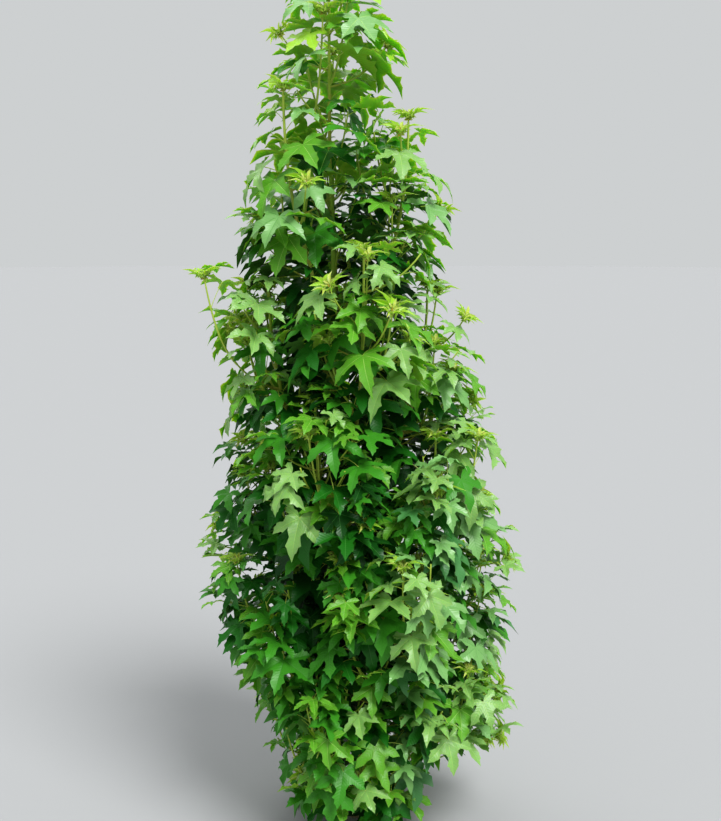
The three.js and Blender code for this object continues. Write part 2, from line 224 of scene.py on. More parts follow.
@dataclass(frozen=True)
class CrownForm:
    """The outline that the crown keeps to, round a line that leans over to the leader."""

    trunk: TrunkForm
    height: float = 2.350
    profile: tuple[tuple[float, float], ...] = (
        (0.0, 0.225),
        (0.180, 0.320),
        (0.450, 0.395),
        (0.720, 0.425),
        (1.050, 0.392),
        (1.350, 0.352),
        (1.650, 0.290),
        (1.900, 0.235),
        (2.150, 0.165),
        (2.350, 0.060),
    )
    bulges: tuple[Bulge, ...] = (
        Bulge(0, 0.330, 0.115),
        Bulge(180, 0.300, -0.030),
        Bulge(0, 0.700, 0.040),
        Bulge(0, 1.180, 0.030),
        Bulge(0, 1.450, -0.050),
        Bulge(180, 1.450, 0.035),
    )
    finer_bulges: tuple[Bulge, ...] = (  # of the leaves alone, on the even outline that the solids have
        Bulge(0, 2.060, 0.030),
        Bulge(0, 1.900, 0.035),
        Bulge(0, 1.620, 0.020),
        Bulge(0, 1.080, 0.045),
        Bulge(180, 1.560, 0.030),
        Bulge(180, 1.160, -0.050),
        Bulge(180, 0.760, 0.065),
        Bulge(180, 0.460, -0.040),
        Bulge(0, 0.740, 0.045),
        Bulge(0, 0.080, -0.070),
        Bulge(180, 0.180, -0.050),
    )
    bulge_degrees: float = 38
    bulge_height: float = 0.130
    hollows: tuple[Hollow, ...] = (
        Hollow(-104, 1.070, 0.050, 0.050),
        Hollow(-103, 0.730, 0.042, 0.050),
        Hollow(-93, 0.585, 0.048, 0.036),
        Hollow(-92, 0.300, 0.040, 0.050),
        Hollow(-94, 1.490, 0.046, 0.110, 0.15),
        Hollow(-95, 1.680, 0.038, 0.080, 0.20),
        Hollow(-95, 1.880, 0.035, 0.090, 0.20),
        Hollow(-12, 1.000, 0.050, 0.060),
        Hollow(25, 0.560, 0.050, 0.060),
        Hollow(60, 0.960, 0.060, 0.070),
        Hollow(85, 0.500, 0.050, 0.060),
        Hollow(95, 1.360, 0.050, 0.070),
        Hollow(125, 0.860, 0.055, 0.060),
        Hollow(165, 1.080, 0.050, 0.060),
        Hollow(172, 0.480, 0.050, 0.050),
        Hollow(205, 0.880, 0.045, 0.050),
    )
    line_steps: int = 48

    def reach(self, heights: np.ndarray, angles: np.ndarray, finer: bool = False) -> np.ndarray:
        """How far the crown reaches out from its middle line.

        Args:
            heights: Some heights.
            angles: The heading at each of them.
            finer: True for the finer outline that the leaves keep to.

        Returns:
            One distance for each height.
        """
        known, reaches = zip(*self.profile)
        reach = np.interp(heights, known, reaches)
        for bulge in self.bulges + (self.finer_bulges if finer else ()):
            apart = np.arccos(np.clip(np.cos(angles - math.radians(bulge.degrees)), -1, 1))
            turn = apart / math.radians(self.bulge_degrees)
            rise = (heights - bulge.height) / self.bulge_height
            reach = reach + bulge.extra * np.exp(-turn * turn - rise * rise)
        return reach

    def centre(self, height: float) -> np.ndarray:
        """The middle of the crown at a height: over the foot below, round the leader at the top."""
        share = height / self.height
        return self.trunk.centre(min(height, self.trunk.top)) * (share, share, 0) + UP * height

    def place(self, height: float, angle: float, share: float) -> np.ndarray:
        """A point at a share of the crown's reach towards a heading."""
        reach = float(self.reach(np.array(height), np.array(angle)))
        return self.centre(height) + heading(angle) * reach * share

    def around(self, points: np.ndarray) -> tuple[np.ndarray, np.ndarray]:
        """Where some points lie round the crown's middle line.

        Args:
            points: The points, in rows.

        Returns:
            Their distances from the line, and their headings.
        """
        known = np.linspace(0, self.height, self.line_steps)
        lines = np.array([self.centre(h) for h in known])
        x = points[:, 0] - np.interp(points[:, 2], known, lines[:, 0])
        y = points[:, 1] - np.interp(points[:, 2], known, lines[:, 1])
        return np.hypot(x, y), np.arctan2(y, x)

    def shares(self, points: np.ndarray) -> np.ndarray:
        """How far out each point lies, from 0 at the crown's middle line to 1 at its outline."""
        distances, angles = self.around(points)
        return distances / self.reach(points[:, 2], angles, True)

    def in_hollow(self, points: np.ndarray) -> np.ndarray:
        """Tells which points lie in a gap between sprays.

        Args:
            points: The points, in rows.

        Returns:
            True for each point in a gap.
        """
        distances, angles = self.around(points)
        shares = distances / self.reach(points[:, 2], angles, True)
        inside = np.zeros(len(points), bool)
        for hollow in self.hollows:
            turns = angles - math.radians(hollow.degrees)
            aside = distances * np.sin(turns) / hollow.half_width
            rise = (points[:, 2] - hollow.height) / hollow.half_height
            inside |= (np.cos(turns) > 0) & (shares > hollow.floor) & (aside * aside + rise * rise < 1)
        return inside


@dataclass(frozen=True)
class Tier:
    """A ring of upright boughs at one level, the first leaving the trunk at the height of foot."""

    name: str
    count: int
    middle: float
    stagger: float
    foot: float
    step: float
    turn: float


@dataclass(frozen=True)
class Mass:
    """One mass of foliage: where its shoot starts and which way, and the middle of its space."""

    name: str
    angle: float
    tip: np.ndarray
    way: np.ndarray
    middle: np.ndarray
    rise: float
    bough: tuple[np.ndarray, ...] = ()


@dataclass(frozen=True)
class TreePlan:
    """The boughs and masses of the whole tree, worked out as for the solids."""

    trunk: TrunkForm
    crown: CrownForm
    tiers: tuple[Tier, ...] = (
        Tier("foot", 4, 0.235, 0.080, 0.022, 0.008, -22),
        Tier("low", 4, 0.595, 0.150, 0.150, 0.038, 20),
        Tier("waist", 4, 0.965, 0.150, 0.440, 0.038, -26),
        Tier("chest", 4, 1.335, 0.140, 0.820, 0.038, 12),
        Tier("high", 3, 1.680, 0.120, 1.170, 0.038, 100),
    )
    centre_share: float = 0.6
    tip_share: float = 0.34
    tip_below_middle: float = 0.200
    lowest_tip: float = 0.062
    outward_lean: float = 0.42
    leaving_reach: float = 0.22
    leaving_rise: float = 0.3
    arriving_share: float = 0.35
    shoot_rise: float = 0.420
    top_shoot_rise: float = 0.553
    top_middle_share: float = 0.45

    def masses(self) -> list[Mass]:
        """Plans the whole tree.

        Returns:
            All masses, from the foot of the tree to its top.
        """
        planned = [self.on_bough(tier, i) for tier in self.tiers for i in range(tier.count)]
        tip = self.trunk.centre(self.trunk.top)
        middle = tip.copy()
        middle[2] = mixed(self.trunk.top, self.crown.height, self.top_middle_share)
        planned.append(Mass("top", math.pi / 2, tip, UP, middle, self.top_shoot_rise))
        return planned

    def on_bough(self, tier: Tier, i: int) -> Mass:
        """Plans one bough of a tier, and the mass on its tip.

        Args:
            tier: The ring of boughs.
            i: The bough's place in it, from 0.

        Returns:
            The mass, with the bough's four control points.
        """
        angle = math.radians(tier.turn) + i * 2 * math.pi / tier.count
        out = heading(angle)
        lift = tier.stagger * (((2 * i) % tier.count) / (tier.count - 1) - 0.5)
        height = tier.middle + lift
        foot = self.trunk.centre(tier.foot + i * tier.step)
        middle = self.crown.place(height, angle, self.centre_share)
        tip = self.crown.place(max(height - self.tip_below_middle, self.lowest_tip), angle, self.tip_share)
        way = unit(UP + out * self.outward_lean)
        rise = tip[2] - foot[2]
        leaving = foot + out * self.leaving_reach * rise + UP * self.leaving_rise * rise
        arriving = tip - way * self.arriving_share * rise
        bough = (foot, leaving, arriving, tip)
        return Mass(f"{tier.name}_{i + 1}", angle, tip, way, middle, self.shoot_rise, bough)


class Line:
    """A limb's centre line, read at shares of its length."""

    FINE_STEPS = 40
    HALF_STEP = 0.5 / FINE_STEPS

    def __init__(self, controls: Sequence[np.ndarray]) -> None:
        """Follows a Bezier curve.

        Args:
            controls: The curve's control points.
        """
        self.points = bezier(controls, np.linspace(0, 1, self.FINE_STEPS))
        strides = np.linalg.norm(np.diff(self.points, axis=0), axis=1)
        self.length = float(strides.sum())
        self.shares = np.concatenate(([0.0], np.cumsum(strides))) / self.length

    def at(self, shares: np.ndarray | float) -> np.ndarray:
        """The points at some shares of the length."""
        return np.stack([np.interp(shares, self.shares, self.points[:, i]) for i in range(3)], axis=-1)

    def way(self, share: float) -> np.ndarray:
        """The direction that the limb grows in at a share of its length."""
        ahead = min(share + self.HALF_STEP, 1.0)
        return unit(self.at(ahead) - self.at(ahead - 2 * self.HALF_STEP))


@dataclass(frozen=True)
class Habit:
    """How one rank of thin limb grows, and how its leaves are spaced."""

    bend: tuple[float, float]  # out and up, as shares of its length
    end: tuple[float, float]
    radii: tuple[float, float]
    bare: float
    leaf_step: float
    rings: int
    sides: int
    old_share: float  # of its length that already has tan bark
    tip_chance: float  # that a rosette of young leaves opens at its tip
    leaf_size: float = 1.0
    shade: float = 0.0  # how much darker its leaves are than those of other limbs: painted shade


class Rank(Enum):
    """The ranks of thin limb in a mass, each growing from the one before."""

    SHOOT = Habit(
        bend=(0.0, 0.45), end=(0.0, 1.0), radii=(0.0048, 0.0028), bare=0.04, leaf_step=0.026,
        rings=24, sides=8, old_share=0.3, tip_chance=1.0,
    )
    SIDE = Habit(
        bend=(0.5, 0.1), end=(0.82, 0.55), radii=(0.0031, 0.0019), bare=0.18, leaf_step=0.027,
        rings=9, sides=6, old_share=0.25, tip_chance=0.5,
    )
    # the leaves of the twigs that fill the front gap get painted shade there
    FILLING = Habit(
        bend=(0.5, 0.12), end=(0.82, 0.5), radii=(0.0029, 0.0018), bare=0.18, leaf_step=0.026,
        rings=9, sides=6, old_share=0.2, tip_chance=0.3, leaf_size=0.95, shade=0.34,
    )
    UPRIGHT = Habit(
        bend=(0.22, 0.2), end=(0.34, 0.92), radii=(0.0031, 0.0019), bare=0.36, leaf_step=0.020,
        rings=10, sides=6, old_share=0.0, tip_chance=0.8,
    )
    REACHING = Habit(
        bend=(0.55, 0.18), end=(1.0, 0.3), radii=(0.0027, 0.0014), bare=0.25, leaf_step=0.028,
        rings=12, sides=6, old_share=0.1, tip_chance=0.6, leaf_size=0.92,
    )
    INNER = Habit(
        bend=(0.5, 0.15), end=(0.8, 0.5), radii=(0.0026, 0.0014), bare=0.12, leaf_step=0.02,
        rings=7, sides=5, old_share=0.6, tip_chance=0.0, leaf_size=0.92,
    )
    LEADER = Habit(
        bend=(0.35, 0.2), end=(0.55, 0.8), radii=(0.0027, 0.0016), bare=0.2, leaf_step=0.022,
        rings=9, sides=6, old_share=0.1, tip_chance=0.7,
    )


@dataclass
class Limb:
    """A thin limb of a mass, which tapers from its foot to its tip."""

    rank: Rank
    line: Line
    out: np.ndarray
    reach_share: float = 1.0  # of the crown's reach that its leaves keep to
    end: float = 1.0  # the share of its line that it has grown

    def radius(self, shares: np.ndarray | float) -> np.ndarray | float:
        """The limb's radius at some shares of its length."""
        return mixed(*self.rank.value.radii, shares)

    def skin(
        self, rings: int, sides: int, extra: float = 0.0, start: float = 0.0
    ) -> tuple[np.ndarray, np.ndarray]:
        """The limb's surface.

        Args:
            rings: How many rings of corners it has.
            sides: How many sides it has.
            extra: What is added to its radius.
            start: The share of the limb's line that it starts at.

        Returns:
            The corners, and the triangles between them.
        """
        shares = np.linspace(start, self.end, rings)
        return tube(self.line.at(shares), self.radius(shares) + extra, sides)


STEEP = 0.9  # a limb that rises by more than this can't be set against the upright
FOOT_POINT, TIP_POINT = 0.3, 0.8  # how far the ends of a limb stand out, in radii


def tube(line: np.ndarray, radii: np.ndarray, sides: int) -> tuple[np.ndarray, np.ndarray]:
    """A closed round limb along a line, pointed at both ends.

    Args:
        line: The points that the middle of the limb follows.
        radii: The limb's radius at each of them.
        sides: How many sides the limb has.

    Returns:
        The corners, and the triangles between them.
    """
    ways = unit(np.gradient(line, axis=0))
    chord = unit(line[-1] - line[0])
    aside = np.cross(chord, UP if abs(chord[2]) < STEEP else heading(0.0))
    across = unit(np.cross(aside, ways))
    aside = np.cross(ways, across)
    turns = np.arange(sides) * 2 * math.pi / sides
    ring = across[:, None] * np.cos(turns)[None, :, None] + aside[:, None] * np.sin(turns)[None, :, None]
    corners = (line[:, None] + ring * radii[:, None, None]).reshape(-1, 3)
    foot_end = line[0] - ways[0] * radii[0] * FOOT_POINT
    tip_end = line[-1] + ways[-1] * radii[-1] * TIP_POINT
    rings, side = np.meshgrid(np.arange(len(line) - 1), np.arange(sides), indexing="ij")
    a = (rings * sides + side).ravel()
    b = (rings * sides + (side + 1) % sides).ravel()
    faces = [np.stack((a, b, b + sides), 1), np.stack((a, b + sides, a + sides), 1)]
    this, after = np.arange(sides), (np.arange(sides) + 1) % sides
    foot, tip, last = len(corners), len(corners) + 1, (len(line) - 1) * sides
    faces.append(np.stack((np.full(sides, foot), after, this), 1))
    faces.append(np.stack((np.full(sides, tip), last + this, last + after), 1))
    return np.concatenate((corners, np.stack((foot_end, tip_end)))), np.concatenate(faces)


class Pile:
    """Many small things of one kind, gathered as arrays and joined into one piece."""

    def __init__(self) -> None:
        """Starts with nothing in it."""
        self.corners: list[np.ndarray] = []
        self.faces: list[np.ndarray] = []
        self.finishes: list[np.ndarray] = []
        self.marks: list[np.ndarray] = []
        self.count = 0

    def add(
        self,
        corners: np.ndarray,
        faces: np.ndarray,
        finishes: np.ndarray | int,
        marks: np.ndarray | None = None,
    ) -> None:
        """Adds one thing.

        Args:
            corners: Its corners.
            faces: Its triangles, as rows of three corners.
            finishes: The number of the finish of each triangle, or one number for all.
            marks: Two surface coordinates for each corner, if its pattern follows the surface.
        """
        self.corners.append(corners)
        self.faces.append(faces + self.count)
        self.finishes.append(np.broadcast_to(finishes, len(faces)))
        self.marks.append(np.zeros((len(corners), 2)) if marks is None else marks)
        self.count += len(corners)

    def piece(
        self, name: str, materials: Sequence[bpy.types.Material], crease_degrees: float
    ) -> bpy.types.Object:
        """Joins everything into one smooth-shaded object.

        Args:
            name: The name of the object.
            materials: The finishes, in the order of their numbers.
            crease_degrees: Edges that bend by more than this stay sharp.

        Returns:
            The new object, with its place in its mesh.
        """
        corners, faces = np.concatenate(self.corners), np.concatenate(self.faces)
        mesh = bpy.data.meshes.new(name)
        mesh.vertices.add(len(corners))
        mesh.vertices.foreach_set("co", corners.astype(np.float32).ravel())
        mesh.loops.add(faces.size)
        mesh.loops.foreach_set("vertex_index", faces.astype(np.int32).ravel())
        mesh.polygons.add(len(faces))
        mesh.polygons.foreach_set("loop_start", np.arange(0, faces.size, 3, dtype=np.int32))
        mesh.polygons.foreach_set("material_index", np.concatenate(self.finishes).astype(np.int32))
        marks = mesh.uv_layers.new(name=BLADE_UV)
        marks.data.foreach_set("uv", np.concatenate(self.marks)[faces.ravel()].astype(np.float32).ravel())
        mesh.update(calc_edges=True)
        mesh.shade_smooth()
        mesh.set_sharp_from_angle(angle=math.radians(crease_degrees))
        for material in materials:
            mesh.materials.append(material)
        piece = bpy.data.objects.new(name, mesh)
        bpy.context.scene.collection.objects.link(piece)
        return piece


def linear(colour: str) -> tuple[float, float, float, float]:
    """An sRGB hex colour as linear values for a shader, by the curve of the sRGB standard."""
    parts = [int(colour[i : i + 2], 16) / 255 for i in (1, 3, 5)]
    return (*[p / 12.92 if p <= 0.04045 else ((p + 0.055) / 1.055) ** 2.4 for p in parts], 1.0)


def add_node(
    tree: bpy.types.NodeTree, kind: str, inputs: dict | None = None, **settings: object
) -> bpy.types.Node:
    """Adds a node with its settings and links.

    Args:
        tree: The node tree that it goes into.
        kind: The shader node's type.
        inputs: A value or another node's output for each named or numbered input.
        settings: The node's own options.

    Returns:
        The new node.
    """
    node = tree.nodes.new(f"ShaderNode{kind}")
    for name, value in settings.items():
        setattr(node, name, value)
    for name, value in (inputs or {}).items():
        if isinstance(value, bpy.types.NodeSocket):
            tree.links.new(value, node.inputs[name])
        else:
            node.inputs[name].default_value = value
    return node


def new_material(name: str) -> tuple[bpy.types.Material, bpy.types.NodeTree, bpy.types.Node]:
    """Starts a material.

    Args:
        name: The material's name.

    Returns:
        The material with nothing but its shader, its node tree, and the shader.
    """
    material = bpy.data.materials.new(name)
    material.use_nodes = True
    return material, material.node_tree, material.node_tree.nodes["Principled BSDF"]


@dataclass(frozen=True)
class LeafFinish:
    """A grown leaf's waxy skin: one green, a satin gloss, and side veins pressed in between the main ones."""

    name: str
    colour: str
    roughness: tuple[float, float] = (0.3, 0.46)
    ior: float = 1.36
    glow: float = 0.0  # how much of the light comes through a thin leaf
    glow_radii: tuple[float, float, float] = (0.5, 1.0, 0.12)
    glow_mm: float = 2.0
    mottle_mm: float = 18
    mottle_detail: float = 2.0
    vein_spacing_mm: float = 7.5
    vein_slant: float = 0.85
    vein_depth_mm: float = 0.25
    vein_strength: float = 0.4

    def material(self) -> bpy.types.Material:
        """Makes the finish.

        Returns:
            The material.
        """
        material, tree, shader = new_material(self.name)
        shader.inputs["Base Color"].default_value = linear(self.colour)
        shader.inputs["IOR"].default_value = self.ior
        if self.glow:
            shader.inputs["Subsurface Weight"].default_value = self.glow
            shader.inputs["Subsurface Radius"].default_value = self.glow_radii
            shader.inputs["Subsurface Scale"].default_value = self.glow_mm * MILLIMETRE

        place = add_node(tree, "TexCoord").outputs["Object"]
        scale = 1 / (self.mottle_mm * MILLIMETRE)
        mottle = add_node(tree, "TexNoise", {"Vector": place, "Scale": scale, "Detail": self.mottle_detail})
        low, high = self.roughness
        gloss = add_node(tree, "MapRange", {"Value": mottle.outputs["Fac"], "To Min": low, "To Max": high})
        tree.links.new(gloss.outputs["Result"], shader.inputs["Roughness"])

        mark = add_node(tree, "UVMap", uv_map=BLADE_UV)
        parts = add_node(tree, "SeparateXYZ", {"Vector": mark.outputs["UV"]})
        aside = add_node(tree, "Math", {0: parts.outputs["X"]}, operation="ABSOLUTE").outputs[0]
        slant = {0: aside, 1: -self.vein_slant, 2: parts.outputs["Y"]}
        slanted = add_node(tree, "Math", slant, operation="MULTIPLY_ADD").outputs[0]
        waves = 2 * math.pi / (self.vein_spacing_mm * MILLIMETRE)
        phase = add_node(tree, "Math", {0: slanted, 1: waves}, operation="MULTIPLY").outputs[0]
        ribs = add_node(tree, "Math", {0: phase}, operation="SINE").outputs[0]
        depth = self.vein_depth_mm * MILLIMETRE
        relief = add_node(tree, "Bump", {"Height": ribs, "Strength": self.vein_strength, "Distance": depth})
        tree.links.new(relief.outputs["Normal"], shader.inputs["Normal"])
        return material


@dataclass(frozen=True)
class StemFinish:
    """Green bark of this year's growth, smooth with a faint grain."""

    name: str
    colour: str
    roughness: float = 0.5
    grain_mm: float = 2.5
    grain_detail: float = 2.0
    grain_depth_mm: float = 0.15
    grain_strength: float = 0.5

    def material(self) -> bpy.types.Material:
        """Makes the finish.

        Returns:
            The material.
        """
        material, tree, shader = new_material(self.name)
        shader.inputs["Base Color"].default_value = linear(self.colour)
        shader.inputs["Roughness"].default_value = self.roughness
        place = add_node(tree, "TexCoord").outputs["Object"]
        scale = 1 / (self.grain_mm * MILLIMETRE)
        noises = {"Vector": place, "Scale": scale, "Detail": self.grain_detail}
        grain = add_node(tree, "TexNoise", noises).outputs["Fac"]
        depth = self.grain_depth_mm * MILLIMETRE
        relief = add_node(tree, "Bump", {"Height": grain, "Strength": self.grain_strength, "Distance": depth})
        tree.links.new(relief.outputs["Normal"], shader.inputs["Normal"])
        return material


@dataclass(frozen=True)
class BarkFinish:
    """Living bark: matt, with fissures along the limb and blotches of another tone."""

    name: str
    deep: str
    ridge: str
    blotch: str
    fissure_mm: float
    stretch: float
    blotch_mm: float
    depth_mm: float
    roughness: float
    green: str  # the bark of the young upper part
    green_heights: tuple[float, float]
    fissure_detail: float = 4.0
    fissure_breaks: float = 0.6
    tone_limits: tuple[float, float] = (0.36, 0.62)
    blotch_detail: float = 3.0
    blotch_limits: tuple[float, float] = (0.45, 0.75)
    relief_strength: float = 0.8

    def material(self) -> bpy.types.Material:
        """Makes the finish.

        Returns:
            The material.
        """
        material, tree, shader = new_material(self.name)
        shader.inputs["Roughness"].default_value = self.roughness
        place = add_node(tree, "TexCoord").outputs["Object"]
        grain = 1 / (self.fissure_mm * MILLIMETRE)
        along = add_node(tree, "Mapping", {"Vector": place, "Scale": (grain, grain, grain / self.stretch)})
        noises = {"Detail": self.fissure_detail, "Roughness": self.fissure_breaks}
        lines = {"Vector": along.outputs["Vector"], "Scale": 1.0, **noises}
        fissures = add_node(tree, "TexNoise", lines).outputs["Fac"]
        tones = add_node(tree, "ValToRGB", {"Fac": fissures})
        for stop, limit, tone in zip(tones.color_ramp.elements, self.tone_limits, (self.deep, self.ridge)):
            stop.position, stop.color = limit, linear(tone)
        scale = 1 / (self.blotch_mm * MILLIMETRE)
        blotches = add_node(tree, "TexNoise", {"Vector": place, "Scale": scale, "Detail": self.blotch_detail})
        low, high = self.blotch_limits
        limits = {"Value": blotches.outputs["Fac"], "From Min": low, "From Max": high}
        share = add_node(tree, "MapRange", limits)
        coat = {"Factor": share.outputs["Result"], "A": tones.outputs["Color"], "B": linear(self.blotch)}
        bark = add_node(tree, "Mix", coat, data_type="RGBA").outputs["Result"]

        height = add_node(tree, "SeparateXYZ", {"Vector": place}).outputs["Z"]
        low, high = self.green_heights
        youth = add_node(tree, "MapRange", {"Value": height, "From Min": low, "From Max": high})
        coat = {"Factor": youth.outputs["Result"], "A": bark, "B": linear(self.green)}
        colour = add_node(tree, "Mix", coat, data_type="RGBA").outputs["Result"]
        tree.links.new(colour, shader.inputs["Base Color"])
        depth = self.depth_mm * MILLIMETRE
        relief = add_node(
            tree, "Bump", {"Height": fissures, "Strength": self.relief_strength, "Distance": depth}
        )
        tree.links.new(relief.outputs["Normal"], shader.inputs["Normal"])
        return material


class Green(Enum):
    """The greens of the leaves, each with the number of its finish in the list of leaf finishes. From deep to
    bright they are lit and shaded copies, with painted light and shade, as well as leaves of their own tone;
    the pale grey and the bluish greens carry a painted sheen of the sky's reflection.
    """

    DEEP = 0
    DARK = 1
    MIDDLE = 2
    WAXY_PAINTED_SHEEN = 3
    FRESH = 4
    PALE = 5
    BRIGHT = 6
    YOUNG = 7
    BLUISH = 8
    NEWEST = 9


# The light underside and vein go on light greens and high up: a painted glow of light through the leaf, besides
# the real glow of that underside
DULL_UNDERSIDE, LIGHT_UNDERSIDE, DULL_VEIN, LIGHT_VEIN = range(len(Green), len(Green) + 4)
LIGHT_GREENS = (Green.FRESH, Green.PALE, Green.BRIGHT, Green.YOUNG)

# Live leaf tissue under a coat of wax: deep green and satin when grown, paler and matt below, and thin
# enough to glow when young. The greens from deep to bright are also lit and shaded copies with painted
# light and shade, the pale grey and the bluish greens carry a painted sheen of the sky's reflection, and the
# light underside and vein a painted glow of light through the leaf
LEAF_FINISHES = (
    LeafFinish("leaf_deep", "#154b14"),
    LeafFinish("leaf_dark", "#236b1b"),
    LeafFinish("leaf_middle", "#428c27"),
    # a pale grey green and a bluish green that carry a painted sheen of the sky's reflection, on real gloss
    LeafFinish("leaf_waxy_painted_sheen", "#78ab62", ior=1.5),
    LeafFinish("leaf_fresh", "#62a030", glow=0.25),
    LeafFinish("leaf_pale", "#82af5f", ior=1.45, glow=0.2),
    LeafFinish("leaf_bright", "#9acb3c", glow=0.3),
    LeafFinish("leaf_young", "#bfd466", glow=0.4),
    LeafFinish("leaf_bluish", "#4b864a", ior=1.43),
    LeafFinish("leaf_newest", "#c9a94a", glow=0.3),
    LeafFinish("leaf_underside", "#659a45", roughness=(0.5, 0.6)),
    LeafFinish("leaf_light_underside", "#98c646", roughness=(0.5, 0.6), glow=0.5),
    StemFinish("leaf_dull_vein", "#4b8a3c"),
    StemFinish("leaf_light_vein", "#a3c768"),
)
TWIG_TAN, TWIG_GREEN, PETIOLE_GREEN = 0, 1, 2

# Shoots of one summer, whose bark is still smooth and yellow-green, tan at the older end
STEM_FINISHES = (
    StemFinish("twig_tan", "#b6bb52"),
    StemFinish("twig_green", "#b0c84e"),
    StemFinish("petiole_green", "#bcd25c"),
)

# Bark of a tree a few years old: grey-brown, corky and fissured at the foot, green and smoother above
TRUNK_FINISH = BarkFinish(
    "bark_grey", deep="#4a3c2d", ridge="#8c7a60", blotch="#7d7f5a", fissure_mm=5, stretch=5,
    blotch_mm=60, depth_mm=1.2, roughness=0.8, green="#b8dc5a", green_heights=(0.4, 1.2),
)
BOUGH_FINISH = BarkFinish(
    "bark_young", deep="#6d6440", ridge="#9a9455", blotch="#8b9a45", fissure_mm=4, stretch=3,
    blotch_mm=45, depth_mm=0.5, roughness=0.7, green="#b2c052", green_heights=(0.2, 1.0),
)


@dataclass(frozen=True)
class Detail:
    """How finely a blade's lobes are cut. Shares are of the lobe's length, widths of the blade's."""

    web: tuple[float, ...]  # points between two lobes, out to the notch, as shares of its reach
    web_along: tuple[float, ...]  # where the veins' points beside them lie
    along: tuple[float, ...]  # points of a lobe's edge past the notch
    half_widths: tuple[float, ...]
    veined: bool = False
    notch_share: float = 1.0  # how far out its notches lie, against those of a grown blade


GROWN_DETAIL = Detail(
    web=(0.45, 1.0),
    web_along=(0.17, 0.38),
    along=(0.50, 0.62, 0.715, 0.745, 0.85, 0.875),
    half_widths=(0.132, 0.158, 0.190, 0.142, 0.110, 0.064),
    veined=True,
)
SHADED_DETAIL = Detail(web=(1.0,), web_along=(0.38,), along=(0.56, 0.72), half_widths=(0.16, 0.165))
YOUNG_DETAIL = Detail(web=(1.0,), web_along=(0.26,), along=(0.56,), half_widths=(0.11,), notch_share=0.66)


